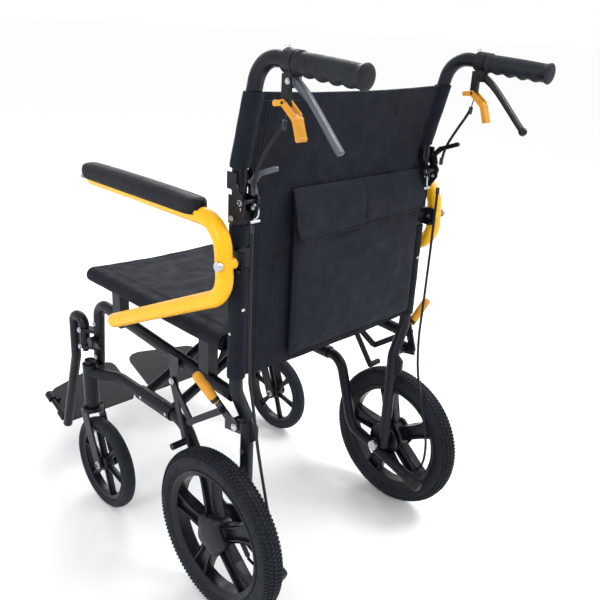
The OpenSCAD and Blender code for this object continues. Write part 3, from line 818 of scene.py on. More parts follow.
@dataclass(frozen=True)
class Rubber:
    """Rubber, with dust that makes it paler in broad patches."""

    name: str
    colour: tuple[float, float, float]
    dust: tuple[float, float, float]
    rough: float = 0.66

    def material(self) -> bpy.types.Material:
        """Builds the material.

        Returns:
            The material.
        """
        n = Nodes(self.name)
        mixed = n.math("MULTIPLY", n.grain(9, 6), n.grain(130, 3))
        n.sockets(
            Base_Color=n.ramp(mixed, 0.16, 0.42, self.colour, self.dust),
            Roughness=n.span(n.grain(70, 4), *GRAIN, self.rough - 0.08, self.rough + 0.12),
            Specular_IOR_Level=0.22,
        )
        n.bump([(n.grain(1300, 3), 0.00012, 0.6)])
        return n.material


@dataclass(frozen=True)
class Metal:
    """Bare or plated metal, a little brushed along one way."""

    name: str
    colour: tuple[float, float, float]
    rough: float = 0.28

    def material(self) -> bpy.types.Material:
        """Builds the material.

        Returns:
            The material.
        """
        n = Nodes(self.name)
        brushed = n.grain(260, 3, (1, 6, 1))
        n.sockets(
            Base_Color=n.ramp(n.grain(60, 4), 0.3, 0.75, shade(self.colour, 0.8), self.colour),
            Metallic=1.0,
            Roughness=n.span(brushed, *GRAIN, self.rough - 0.08, self.rough + 0.14),
        )
        n.bump([(brushed, 0.00005, 0.5)])
        return n.material


@dataclass(frozen=True)
class Weave:
    """A plain woven nylon: threads, soft creases, a dull sheen."""

    name: str
    colour: tuple[float, float, float]
    threads: float = 1500
    rough: float = 0.72
    sheen: float = 0.25

    def material(self) -> bpy.types.Material:
        """Builds the material.

        Returns:
            The material.
        """
        n = Nodes(self.name)
        warp = n.node(
            "ShaderNodeTexWave", {"Vector": n.where, "Scale": self.threads / 6.28, "Distortion": 0.3},
            wave_type="BANDS", bands_direction="X",
        ).outputs["Fac"]
        slant = (math.radians(45), 0, 0)
        slanted = n.node("ShaderNodeMapping", {"Vector": n.where, "Rotation": slant}).outputs[0]
        weft = n.node(
            "ShaderNodeTexWave", {"Vector": slanted, "Scale": self.threads / 4.44, "Distortion": 0.3},
            wave_type="BANDS", bands_direction="Z",
        ).outputs["Fac"]
        cloth = n.math("MAXIMUM", warp, weft)
        faded = n.math("MULTIPLY", n.grain(11, 6, None, 0.6), 0.8)
        tone = n.math("ADD", faded, n.math("MULTIPLY", cloth, 0.2))
        n.sockets(
            Base_Color=n.ramp(tone, 0.32, 0.75, shade(self.colour, 0.72), shade(self.colour, 1.5)),
            Roughness=n.span(n.grain(40, 4), *GRAIN, self.rough - 0.1, self.rough + 0.12),
            Specular_IOR_Level=0.13,
            Sheen_Weight=self.sheen,
            Sheen_Roughness=0.45,
            Sheen_Tint=(0.55, 0.62, 0.78, 1),
        )
        n.bump([
            (cloth, 0.00022, 0.7),
            (n.grain(75, 5, (1, 1, 0.5)), 0.0016, 0.32),
            (n.grain(18, 4), 0.004, 0.25),
        ])
        return n.material


@dataclass(frozen=True)
class Vinyl:
    """Soft vinyl with a fine leather grain."""

    name: str
    colour: tuple[float, float, float]
    cells: float = 520

    def material(self) -> bpy.types.Material:
        """Builds the material.

        Returns:
            The material.
        """
        n = Nodes(self.name)
        cells = n.node(
            "ShaderNodeTexVoronoi", {"Vector": n.where, "Scale": self.cells}, feature="DISTANCE_TO_EDGE"
        ).outputs["Distance"]
        n.sockets(
            Base_Color=n.ramp(n.grain(22, 4), *GRAIN, shade(self.colour, 0.85), shade(self.colour, 1.25)),
            Roughness=n.span(n.grain(60, 3), *GRAIN, 0.42, 0.58),
            Specular_IOR_Level=0.17,
        )
        n.bump([(n.span(cells, 0, 0.28, 0, 1), 0.0003, 0.5), (n.grain(900, 2), 0.0001, 0.3)])
        return n.material


@dataclass(frozen=True)
class Floor:
    """The pale studio floor, which fades into the backdrop."""

    name: str = "studio_floor"

    def material(self) -> bpy.types.Material:
        """Builds the material.

        Returns:
            The material.
        """
        n = Nodes(self.name)
        n.sockets(
            Base_Color=n.ramp(n.grain(3, 3), 0.2, 0.8, (0.975, 0.975, 0.975), (0.985, 0.985, 0.985)),
            Roughness=n.span(n.grain(20, 2), 0, 1, 0.75, 0.85),
            Specular_IOR_Level=0.0,
        )
        return n.material


class Palette:
    """Every material of the chair, built once."""

    def __init__(self) -> None:
        """Builds them."""
        black = (0.0048, 0.0066, 0.0098)
        self.frame = PowderCoat("frame_coat", (0.0036, 0.0056, 0.0096), shine=0.2).material()
        # Painted light: the paler lever coat stands in for light on the left hand brake lever and left back latch; the
        # right ones, of the same paint, take the dark lever coat.
        self.lever = PowderCoat("lever_coat", (0.075, 0.084, 0.1), 0.34).material()
        self.dark_lever = PowderCoat("dark_lever_coat", (0.0075, 0.0082, 0.0105), 0.3).material()
        yellow = PowderCoat("yellow_coat", (0.86, 0.43, 0.004), 0.26, 0.00004, cloud=0.025)
        self.yellow = yellow.material()
        self.ochre = Moulded("ochre_plastic", (0.62, 0.27, 0.02), 0.4, 1500).material()
        self.plastic = Moulded("black_plastic", black, 0.42).material()
        self.wheel_plastic = Moulded("wheel_plastic", black, 0.32, 1800, 0.00005).material()
        self.grip = Rubber("grip_rubber", (0.006, 0.008, 0.0118), (0.013, 0.0165, 0.0225), 0.5).material()
        self.tyre = Rubber("tyre_rubber", (0.0058, 0.0080, 0.0118), (0.014, 0.0185, 0.026)).material()
        self.tip = Rubber("tip_rubber", (0.007, 0.0078, 0.0092), (0.013, 0.014, 0.016), 0.5).material()
        self.cable = Moulded("cable_sleeve", (0.0055, 0.006, 0.0075), 0.34, 900).material()
        self.zinc = Metal("zinc_steel", (0.60, 0.62, 0.65), 0.3).material()
        self.dark_steel = Metal("dark_steel", (0.055, 0.058, 0.065), 0.4).material()
        self.nylon = Weave("nylon", (0.0048, 0.0068, 0.0112), 1500, 0.7, 0.04).material()
        self.pocket = Weave("pocket_nylon", (0.0057, 0.008, 0.013), 1500, 0.66, 0.06).material()
        self.binding = Weave("binding_tape", (0.0042, 0.0062, 0.0105), 2600, 0.6, 0.05).material()
        self.thread = Rubber("thread", (0.014, 0.020, 0.029), (0.028, 0.037, 0.05), 0.6).material()
        self.vinyl = Vinyl("pad_vinyl", (0.005, 0.007, 0.0108)).material()
        self.floor = Floor().material()


PALETTE = Palette()


# ---------- geometry nodes ----------


class Tree(Graph):
    """A geometry node tree with named inputs, used once on an object and then baked."""

    def __init__(self, name: str, **inputs: float) -> None:
        """Makes the tree with its inputs.

        Args:
            name: Its name.
            inputs: The name and value of each size.
        """
        self.tree = bpy.data.node_groups.new(name, "GeometryNodeTree")
        face = self.tree.interface
        face.new_socket(name="Geometry", in_out="INPUT", socket_type="NodeSocketGeometry")
        face.new_socket(name="Geometry", in_out="OUTPUT", socket_type="NodeSocketGeometry")
        self.ids: dict[str, float] = {}
        self.names = {key: key.replace("_", " ").title() for key in inputs}
        for key, value in inputs.items():
            kind = "NodeSocketInt" if isinstance(value, int) else "NodeSocketFloat"
            made = face.new_socket(name=self.names[key], in_out="INPUT", socket_type=kind)
            made.default_value = value
            self.ids[made.identifier] = value
        self.source = self.tree.nodes.new("NodeGroupInput")

    def size(self, key: str) -> bpy.types.NodeSocket:
        """The socket of a named input."""
        return self.source.outputs[self.names[key]]

    def close(self, geometry: bpy.types.NodeSocket, material: bpy.types.Material) -> None:
        """Ends the tree in real geometry with a material.

        Args:
            geometry: The geometry, which may hold instances.
            material: Its finish.
        """
        real = self.node("GeometryNodeRealizeInstances", {"Geometry": geometry}).outputs[0]
        dressed = self.node("GeometryNodeSetMaterial", {"Geometry": real, "Material": material})
        self.node("NodeGroupOutput", {"Geometry": dressed.outputs[0]})

    def run(self, name: str, points: Sequence[Vector], edges: Sequence[tuple[int, int]] = (),
            aims: Sequence[Vector] | None = None) -> bpy.types.Object:
        """Runs the tree on points and bakes the result.

        Args:
            name: The object's name.
            points: Its points, in metres.
            edges: Edges between them.
            aims: A direction at each point, read by the tree as "aim".

        Returns:
            The object.
        """
        mesh = bpy.data.meshes.new(name)
        mesh.from_pydata([tuple(p) for p in points], list(edges), [])
        if aims is not None:
            given = mesh.attributes.new("aim", "FLOAT_VECTOR", "POINT")
            given.data.foreach_set("vector", [c for a in aims for c in a])
        obj = bpy.data.objects.new(name, mesh)
        bpy.context.scene.collection.objects.link(obj)
        mod = obj.modifiers.new(name, "NODES")
        mod.node_group = self.tree
        for identifier, value in self.ids.items():
            mod[identifier] = value
        baked(obj)
        obj.data.polygons.foreach_set("use_smooth", [True] * len(obj.data.polygons))
        obj.data.set_sharp_from_angle(angle=math.radians(38))
        return obj


# Parts of a bolt: corners, radius above and below as shares of the head's, depth and foot of its height.
WASHER = (20, 1.32, 1.4, 0.3, 0.0)
HEAD = (20, 0.9, 1.0, 0.75, 0.25)
DOME = (20, 0.45, 0.9, 0.25, 1.0)
DRIVE = (6, 0.42, 0.2, 0.2, 1.1)


def bolt_heads(name: str, spots: Sequence[tuple[Vector, Vector]], radius: float, height: float,
               material: bpy.types.Material) -> bpy.types.Object:
    """Button-headed bolts on washers at spots.

    Args:
        name: The object's name.
        spots: Pairs of place and outward direction.
        radius: Radius of a head in millimetres.
        height: Height of a head in millimetres.
        material: Their finish.

    Returns:
        The object.
    """
    t = Tree("bolt_tree", radius=radius * MM, height=height * MM)
    aim = t.node("GeometryNodeInputNamedAttribute", {"Name": "aim"}, data_type="FLOAT_VECTOR").outputs[0]
    turn = t.node("FunctionNodeAlignRotationToVector", {"Vector": aim}, axis="Z").outputs[0]
    joined = t.node("GeometryNodeJoinGeometry")
    for corners, above, below, depth, foot in (WASHER, HEAD, DOME, DRIVE):
        cone = t.node(
            "GeometryNodeMeshCone",
            {"Vertices": corners, "Radius Top": t.math("MULTIPLY", t.size("radius"), above),
             "Radius Bottom": t.math("MULTIPLY", t.size("radius"), below),
             "Depth": t.math("MULTIPLY", t.size("height"), depth)},
        ).outputs["Mesh"]
        lift = t.node("ShaderNodeCombineXYZ", {2: t.math("MULTIPLY", t.size("height"), foot)}).outputs[0]
        moved = t.node("GeometryNodeTransform", {"Geometry": cone, "Translation": lift}).outputs[0]
        t.tree.links.new(moved, joined.inputs[0])
    points = t.node("GeometryNodeMeshToPoints", {"Mesh": t.source.outputs[0]}).outputs[0]
    spread = t.node(
        "GeometryNodeInstanceOnPoints", {"Points": points, "Instance": joined.outputs[0], "Rotation": turn}
    )
    t.close(spread.outputs[0], material)
    return t.run(name, [s[0] for s in spots], aims=[s[1].normalized() for s in spots])


def stitches(name: str, lines: Sequence[Sequence[Vector]], material: bpy.types.Material, pitch: float = 4.2,
             length: float = 3.0, thick: float = 0.42) -> bpy.types.Object:
    """Thread stitches along lines.

    Args:
        name: The object's name.
        lines: Lines of points that lie on the cloth.
        material: The thread.
        pitch: Distance between stitches in millimetres.
        length: Length of a stitch in millimetres.
        thick: Radius of the thread in millimetres.

    Returns:
        The object.
    """
    t = Tree("stitch_tree", pitch=pitch * MM, length=length * MM, thread_radius=thick * MM)
    curve = t.node("GeometryNodeMeshToCurve", {"Mesh": t.source.outputs[0]}).outputs[0]
    spots = t.node("GeometryNodeCurveToPoints", {"Curve": curve, "Length": t.size("pitch")}, mode="LENGTH")
    thread = t.node(
        "GeometryNodeMeshCylinder",
        {"Vertices": 6, "Radius": t.size("thread_radius"), "Depth": t.size("length")},
    ).outputs["Mesh"]
    sewn = t.node(
        "GeometryNodeInstanceOnPoints",
        {"Points": spots.outputs["Points"], "Instance": thread, "Rotation": spots.outputs["Rotation"]},
    )
    t.close(sewn.outputs[0], material)
    points, edges = [], []
    for line in lines:
        base = len(points)
        points += list(line)
        edges += [(base + i, base + i + 1) for i in range(len(line) - 1)]
    return t.run(name, points, edges)


@dataclass(frozen=True)
class TreadRow:
    """One ring of tread blocks: where it is, and how its blocks are turned. Millimetres and degrees."""

    offset: float
    radius: float
    size: tuple[float, float, float]
    phase: float = 0.0
    skew: float = 0.0
    lean: float = 0.0


def tread(name: str, centre: Vector, rows: Sequence[TreadRow], count: int,
          material: bpy.types.Material) -> bpy.types.Object:
    """Rings of tread blocks round a wheel that turns about X.

    Args:
        name: The object's name.
        centre: The wheel's centre.
        rows: The rings.
        count: Blocks in each ring.
        material: Their finish.

    Returns:
        The object.
    """
    t = Tree("tread_tree", count=count, scale=1.0)
    joined = t.node("GeometryNodeJoinGeometry")
    index = t.node("GeometryNodeInputIndex").outputs[0]
    for row in rows:
        share = t.math("DIVIDE", t.math("ADD", index, row.phase), t.size("count"))
        turn = t.math("MULTIPLY", share, 2 * math.pi)
        radius = t.math("MULTIPLY", t.size("scale"), row.radius * MM)
        spot = t.node(
            "ShaderNodeCombineXYZ",
            {0: row.offset * MM, 1: t.math("MULTIPLY", t.math("COSINE", turn), radius),
             2: t.math("MULTIPLY", t.math("SINE", turn), radius)},
        ).outputs[0]
        line = t.node("GeometryNodeMeshLine", {"Count": t.size("count")}).outputs[0]
        placed = t.node("GeometryNodeSetPosition", {"Geometry": line, "Position": spot}).outputs[0]
        block = t.node("GeometryNodeMeshCube", {"Size": tuple(s * MM for s in row.size)}).outputs["Mesh"]
        tilt = (0, math.radians(row.lean), math.radians(row.skew))
        tilted = t.node("GeometryNodeTransform", {"Geometry": block, "Rotation": tilt})
        angle = t.node("ShaderNodeCombineXYZ", {0: t.math("SUBTRACT", turn, math.pi / 2)}).outputs[0]
        spin = t.node("FunctionNodeEulerToRotation", {0: angle}).outputs[0]
        laid = t.node(
            "GeometryNodeInstanceOnPoints",
            {"Points": placed, "Instance": tilted.outputs[0], "Rotation": spin},
        )
        t.tree.links.new(laid.outputs[0], joined.inputs[0])
    t.close(joined.outputs[0], material)
    obj = t.run(name, [Vector((0, 0, 0))])
    obj.data.transform(Matrix.Translation(centre))
    return obj


# ---------- cloth ----------


def crumple(p: Vector, deep: float, scale: float = 60.0) -> float:
    """How far loose cloth stands off at a point, in millimetres.

    Args:
        p: The point, in metres.
        deep: The largest folds, in millimetres.
        scale: Their size, in millimetres.

    Returns:
        Millimetres along the outward normal.
    """
    q = Vector((p.x, p.y * 0.5, p.z)) / (scale * MM)
    broad = noise.noise(q)
    turned = Vector((q.x * 0.8 + q.z * 0.9, q.y, q.z * 1.9 - q.x * 0.7))
    ridge = 1 - abs(noise.noise(turned + Vector((7, 3, 1))))
    fine = noise.noise(q * 3.1 + Vector((3, 9, 2)))
    return deep * (0.55 * broad + 0.7 * (ridge**3 - 0.45) + 0.16 * fine)


def inflate(obj: bpy.types.Object, voxel: float, pressure: float, cap: float, frames: int = 16,
            pinned: Callable[[Vector], float] | None = None) -> bpy.types.Object:
    """Swells a closed soft piece with a cloth simulation and bakes it.

    Args:
        obj: The piece.
        voxel: Size of its new faces, in millimetres.
        pressure: The pressure inside.
        cap: The most that a point may move, in millimetres.
        frames: Steps of the simulation.
        pinned: How firmly a point is held, from 0 to 1.

    Returns:
        The piece.
    """
    material = obj.data.materials[0]
    mod = obj.modifiers.new("even", "REMESH")
    mod.mode = "VOXEL"
    mod.voxel_size = voxel * MM
    baked(obj)
    start = np.array([v.co[:] for v in obj.data.vertices])
    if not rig.quick():
        if pinned is not None:
            group = obj.vertex_groups.new(name="held")
            for v in obj.data.vertices:
                group.add([v.index], pinned(v.co), "REPLACE")
        mod = obj.modifiers.new("cloth", "CLOTH")
        mod.settings.use_pressure = True
        mod.settings.uniform_pressure_force = pressure
        mod.settings.quality = 4
        mod.settings.tension_stiffness = mod.settings.compression_stiffness = 20
        mod.settings.bending_stiffness = 1.5
        mod.settings.effector_weights.gravity = 0
        mod.collision_settings.use_collision = False
        if pinned is not None:
            mod.settings.vertex_group_mass = "held"
        scene = bpy.context.scene
        for step in range(1, frames + 1):
            scene.frame_set(step)
        baked(obj)
        scene.frame_set(1)
        moved = np.array([v.co[:] for v in obj.data.vertices]) - start
        far = np.linalg.norm(moved, axis=1, keepdims=True)
        moved *= np.minimum(1, cap * MM / np.maximum(far, 1e-9))
        obj.data.vertices.foreach_set("co", (start + moved).astype(np.float32).ravel())
    obj.vertex_groups.clear()
    obj.data.materials.clear()
    obj.data.materials.append(material)
    softened(obj)
    obj.data.polygons.foreach_set("use_smooth", [True] * len(obj.data.polygons))
    return obj


def push_out(obj: bpy.types.Object, how: Callable[[Vector, Vector], float]) -> bpy.types.Object:
    """Moves each point of a mesh along its normal.

    Args:
        obj: The piece.
        how: Millimetres for a point and its normal.

    Returns:
        The piece.
    """
    moves = [v.co + v.normal * how(v.co, v.normal) * MM for v in obj.data.vertices]
    obj.data.vertices.foreach_set("co", [c for m in moves for c in m])
    obj.data.update()
    return obj


@dataclass
class Back:
    """The two back panels with their sleeves on the canes. Millimetres."""

    cane_x: float = 216
    cane_y: float = 12
    sleeve: float = 14.4
    half: float = 3.2
    low: float = 444
    crease_low: float = 737.1
    crease_high: float = 737.3
    top: float = 875
    lean_from: float = 776
    lean: float = 0.2603
    bracket: tuple[float, float] = (622, 658)
    hinge_low: float = 689
    sleeve_high: float = 771
    folds: float = 1.9
    free_edge: float = 26.0
    hem: float = 5.0
    hem_reach: float = 60
    seam_step: float = 4.0
    thread_off: float = 1.6
    keep: float = 0.4

    def middle(self, z: float) -> float:
        """The Y of the panel's middle at a height."""
        return self.cane_y + max(0.0, z - self.lean_from) * self.lean

    def ring(self, z: float, wrapped: bool, deep: float, reach: float, droop: float = 0.0) -> list[Vector]:
        """One closed outline of a panel at a height.

        Args:
            z: The height.
            wrapped: Whether it goes round the canes here.
            deep: Depth of its folds.
            reach: X of its ends where it isn't wrapped.
            droop: How far its middle hangs below the height.

        Returns:
            Points in metres.
        """
        y0 = self.middle(z)
        flats, bends = 72, 13
        out: list[Vector] = []
        edge = self.cane_x - math.sqrt(self.sleeve**2 - self.half**2)
        limit = edge if wrapped else reach
        start = math.asin(self.half / self.sleeve)
        for way in (1, -1):
            for k in range(flats):
                x = -way * limit + 2 * way * limit * k / flats
                sag = droop * (1 - (x / self.cane_x) ** 2)
                base = DATUM.at(x, y0, z - sag)
                free = min(1.0, (limit - abs(x)) / self.free_edge)
                fold = crumple(base, deep) * free
                quilt = 1.2 * free
                out.append(DATUM.at(x, y0 + way * (self.half + quilt) + fold, z - sag))
            for k in range(bends):
                if wrapped:
                    a = math.pi - start - (2 * math.pi - 2 * start) * k / bends
                    px, py = self.cane_x + self.sleeve * math.cos(a), self.sleeve * math.sin(a)
                    loose = 1 + 0.05 * noise.noise(Vector((px * 0.03, a, z * 0.035)))
                    px = self.cane_x + (px - self.cane_x) * loose
                    py *= loose
                else:
                    a = math.pi / 2 - math.pi * k / bends
                    px, py = limit + self.half * math.cos(a), self.half * math.sin(a)
                out.append(DATUM.at(way * px, y0 + way * py, z))
        return out

    def panel(self, shape: Shape, bands: Sequence[tuple[float, float, bool]], deep: Callable[[float], float],
              droop: Callable[[float], float], reach: float = 196) -> None:
        """Lofts one panel from bands of height.

        Args:
            shape: Where it goes.
            bands: Low, high and whether the band goes round the canes.
            deep: Depth of folds at a height.
            droop: Sag of the middle at a height.
            reach: X of its ends where it isn't wrapped.
        """
        rings = []
        for low, high, wrapped in bands:
            steps = max(2, round((high - low) / 4.5))
            for k in range(steps + 1):
                z = low + (high - low) * k / steps
                tuck = 0.3 if k in (0, steps) else 0.0
                rings.append(self.ring(z, wrapped, deep(z) * (1 - tuck), reach, droop(z)))
        shape.loft([r[::-1] for r in rings])

    def lower(self) -> None:
        """The fixed panel, with sleeves broken for the arm bracket and the hinge."""
        shape = Shape()
        self.panel(
            shape,
            [(self.low, self.bracket[0], True), (self.bracket[0] + 0.3, self.bracket[1], False),
             (self.bracket[1] + 0.3, self.hinge_low, True), (self.hinge_low + 0.3, self.crease_low, False)],
            lambda z: self.folds + 1.2 * max(0.0, 1 - (self.crease_low - z) / 50),
            lambda z: self.hem * max(0.0, 1 - (z - self.low) / self.hem_reach),
        )
        piece = shape.piece("back_panel_lower", PALETTE.nylon, smooth=75)
        seat_on(piece, "left_frame", "nylon", "back_sling_lower")
        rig.sheet(piece, flat=(0.52, 0.30), held="stretched", rests_on=["back_post_left", "back_post_right"])
        self.fold_away(piece)
        rear = self.half + self.thread_off
        rows = []
        for x in (187, 181, 156, 150):
            rows.append([self.on_rear(x, z, self.folds, rear)
                         for z in np.arange(self.low + 4, 726, self.seam_step)])
        for z in (self.low + 9, 640, 683):
            rows.append([self.on_rear(x, z, self.folds, rear) for x in np.arange(128, 193, 3.0)])
        rows.append([self.on_rear(x, self.low + 9 - self.hem * (1 - (x / self.cane_x) ** 2), self.folds, rear)
                     for x in np.arange(-195, 128, self.seam_step)])
        thread = stitches("back_stitch_lower", rows, PALETTE.thread)
        seat_on(thread, "left_frame", "nylon")
        self.fold_away(thread)

    def on_rear(self, x: float, z: float, deep: float, off: float) -> Vector:
        """A point on the rear of the cloth.

        Args:
            x: Its X.
            z: Its height.
            deep: Depth of the folds there.
            off: Distance from the panel's middle.

        Returns:
            The point in metres.
        """
        y0 = self.middle(z)
        edge = self.cane_x - math.sqrt(self.sleeve**2 - self.half**2)
        free = min(1.0, max(0.0, (edge - abs(x)) / self.free_edge))
        return DATUM.at(x, y0 + off + crumple(DATUM.at(x, y0, z), deep) * free, z)

    def upper(self) -> None:
        """The panel that folds down with the canes."""
        shape = Shape()

        def deep(z: float) -> float:
            """Depth of the folds, largest near the crease."""
            return 2.3 + 3.4 * max(0.0, 1 - (z - self.crease_high) / 60)

        self.panel(
            shape,
            [(self.crease_high, self.sleeve_high, False), (self.sleeve_high + 0.3, self.top, True)],
            deep,
            lambda z: self.hem * max(0.0, 1 - (self.top - z) / self.hem_reach),
        )
        piece = shape.piece("back_panel_upper", PALETTE.nylon, smooth=75)
        seat_on(piece, "back_upper_left", "nylon", "back_sling_upper")
        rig.sheet(piece, flat=(0.52, 0.14), held="stretched", rests_on=["cane_left", "cane_right"])
        self.fold_away(piece)
        rear = self.half + self.thread_off
        high = self.top - 11
        rows = [[self.on_rear(x, high - self.hem * (1 - (x / self.cane_x) ** 2), deep(self.top), rear)
                 for x in np.arange(-200, 201, self.seam_step)]]
        heights = np.arange(self.crease_high + 6, self.top - 4, self.seam_step)
        rows += [[self.on_rear(s * x, z, deep(z), rear) for z in heights]
                 for s in (1, -1) for x in (190, 184)]
        thread = stitches("back_stitch_upper", rows, PALETTE.thread)
        seat_on(thread, "back_upper_left", "nylon")
        self.fold_away(thread)

    def fold_away(self, piece: bpy.types.Object) -> None:
        """Lets the cloth crumple towards the left cane as the frame folds."""
        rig.squash(piece, "frame_fold", axis=(1, 0, 0), anchor=DATUM.at(self.cane_x, 0, 0), keep=self.keep)

    def build(self) -> None:
        """Makes both panels."""
        self.lower()
        self.upper()


@dataclass
class Pocket:
    """The pocket on the back's lower panel: a shallow bag under a flap. Millimetres."""

    span_x: tuple[float, float] = (-207, 116)
    span_z: tuple[float, float] = (451, 724)
    base: float = 17.8
    deep: float = 6.5
    folds: float = 2.4
    flap_rise: float = 6
    flap_over: float = 2
    flap_low: tuple[float, float] = (645.0, 660.0)
    flap_round: tuple[float, float] = (34, 22)
    flap_out: float = 1.4
    flap_thick: float = 1.8
    columns: int = 90
    rows: int = 26
    seam_x: float = -42
    seam_step: float = 4.0
    cane_x: float = 216
    keep: float = 0.372

    @property
    def flap_top(self) -> float:
        """Height of the flap's sewn edge."""
        return self.span_z[1] + self.flap_rise

    def fold_away(self, piece: bpy.types.Object) -> None:
        """Lets a piece crumple towards the left cane as the frame folds."""
        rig.squash(piece, "frame_fold", axis=(1, 0, 0), anchor=DATUM.at(self.cane_x, 0, 0), keep=self.keep)

    def bag(self) -> bpy.types.Object:
        """Makes the bag, swells it and lets it slump.

        Returns:
            The bag.
        """
        (x0, x1), (z0, z1) = self.span_x, self.span_z
        lay = Matrix(((0, 1, 0, 0), (1, 0, 0, 0), (0, 0, 1, 0), (0, 0, 0, 1)))
        shape = Shape()
        outline = rounded([(x0, z0), (x1, z0), (x1, z1), (x0, z1)], 14, 5)
        shape.slab(outline, 0, self.deep, 2.6, frame_of=Matrix.Translation(DATUM.at(0, self.base, 0)) @ lay)
        bag = recalculated(shape.piece("back_pocket_bag", PALETTE.pocket, smooth=80))
        held = DATUM.at(0, self.base + 2.5, 0).y
        inflate(bag, 5.0, 2.2, 2.2, 12, lambda c: 1.0 if c.y < held else 0.0)

        def slump(c: Vector, n: Vector) -> float:
            """Folds on the bag's outer face.

            Args:
                c: A point of it.
                n: The normal there.

            Returns:
                Millimetres along the normal.
            """
            x, z = c.x / MM, c.z / MM
            low = max(0.0, 1 - (z - z0) / 90)
            edge = min(1.0, min(x - x0, x1 - x) / 25, (z - z0) / 25)
            loose = crumple(c, self.folds, 85) + self.folds * low * edge
            return loose * max(0.0, n.y) * max(0.0, edge)

        push_out(bag, slump)
        seat_on(bag, "left_frame", "nylon", "back_pocket")
        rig.padded(bag, fill=0.1)
        self.fold_away(bag)
        return bag

    def flap_lines(self) -> list[list[tuple[float, float]]]:
        """The flap's columns of X and Z, from its sewn edge down to its rounded lower edge.

        Returns:
            The columns, from the sitter's left to their right.
        """
        (x0, x1), top = self.span_x, self.flap_top
        (left_low, right_low), (left_round, right_round) = self.flap_low, self.flap_round
        lines = []
        for k in range(self.columns + 1):
            x = x1 + self.flap_over - (x1 - x0 + 2 * self.flap_over) * k / self.columns
            low = left_low + (right_low - left_low) * k / self.columns
            left, right = x1 + self.flap_over - x, x - x0 + self.flap_over
            for radius, corner in ((left_round, left), (right_round, right)):
                if corner < radius:
                    low += radius - math.sqrt(max(0.0, radius**2 - (radius - corner) ** 2))
            lines.append([(x, top + (low - top) * j / self.rows) for j in range(self.rows + 1)])
        return lines

    def flap_y(self, x: float, z: float) -> float:
        """How far back the flap is at a place.

        Args:
            x: Its X.
            z: Its height.

        Returns:
            Its Y.
        """
        down = (self.flap_top - z) / (self.flap_top - self.flap_low[0])
        seam = math.exp(-(((x - self.seam_x) / 5) ** 2))
        bulge = 12.0 * math.sin(min(1.0, down * 1.7) * math.pi / 2) + 1.5 * math.sin(down * math.pi)
        loose = crumple(DATUM.at(x, 0, z), self.folds, 62) * min(1.0, down * 3)
        return self.base + self.flap_out + bulge - 2.2 * seam + loose

    def flap(
        self, lines: Sequence[Sequence[tuple[float, float]]], bag: bpy.types.Object
    ) -> list[list[Vector]]:
        """Makes the flap.

        Args:
            lines: Its columns.
            bag: The bag it lies on.

        Returns:
            Its points, column by column.
        """
        grid = [[DATUM.at(x, self.flap_y(x, z), z) for x, z in line] for line in lines]
        n = len(grid[0])
        quads = [(i * n + j, (i + 1) * n + j, (i + 1) * n + j + 1, i * n + j + 1)
                 for i in range(self.columns) for j in range(n - 1)]
        sheet = Shape().add([p for line in grid for p in line], quads)
        flap = sheet.piece("back_pocket_flap", PALETTE.pocket, smooth=80)
        mod = flap.modifiers.new("thick", "SOLIDIFY")
        mod.thickness, mod.offset = self.flap_thick * MM, 0
        seat_on(recalculated(baked(flap)), "left_frame", "nylon")
        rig.sheet(flap, flat=(0.33, 0.085), held="hung", rests_on=[bag.name])
        self.fold_away(flap)
        return grid

    def trim(self, lines: Sequence[Sequence[tuple[float, float]]], grid: Sequence[Sequence[Vector]]) -> None:
        """Makes the binding and the stitches.

        Args:
            lines: The flap's columns.
            grid: The flap's points.
        """
        (x0, x1), (z0, z1) = self.span_x, self.span_z
        edge = [*grid[0][4:-1], *(column[-1] for column in grid), *reversed(grid[-1][6:-1])]
        bound = Shape()
        bound.tube([p + Vector((0, 0.0006, 0)) for p in edge], 1.9 * MM, 8)
        side = [DATUM.at(x1 - 1, self.base + 8.5, z) for z in np.arange(z0 + 6, z1 - 8, 6.0)]
        bound.tube(catmull(side[::4], 3), 1.5 * MM, 8)
        binding = bound.piece("back_pocket_binding", PALETTE.binding)
        seat_on(binding, "left_frame", "nylon")
        self.fold_away(binding)

        sewn = self.flap_top - 5
        rows = [
            [DATUM.at(x, self.flap_y(x, z + 6) + 1.2, z + 6) for x, z in (line[-1] for line in lines[4:-3])],
            [DATUM.at(self.seam_x, self.flap_y(self.seam_x, z) + 1.0, z)
             for z in np.arange(self.flap_low[1] - 2, z1, self.seam_step)],
            [DATUM.at(x, self.flap_y(x, sewn) + 1.2, sewn) for x in np.arange(x0, x1, self.seam_step)],
        ]
        thread = stitches("back_pocket_stitch", rows, PALETTE.thread)
        seat_on(thread, "left_frame", "nylon")
        self.fold_away(thread)

    def build(self) -> None:
        """Makes the whole pocket."""
        bag = self.bag()
        lines = self.flap_lines()
        self.trim(lines, self.flap(lines, bag))


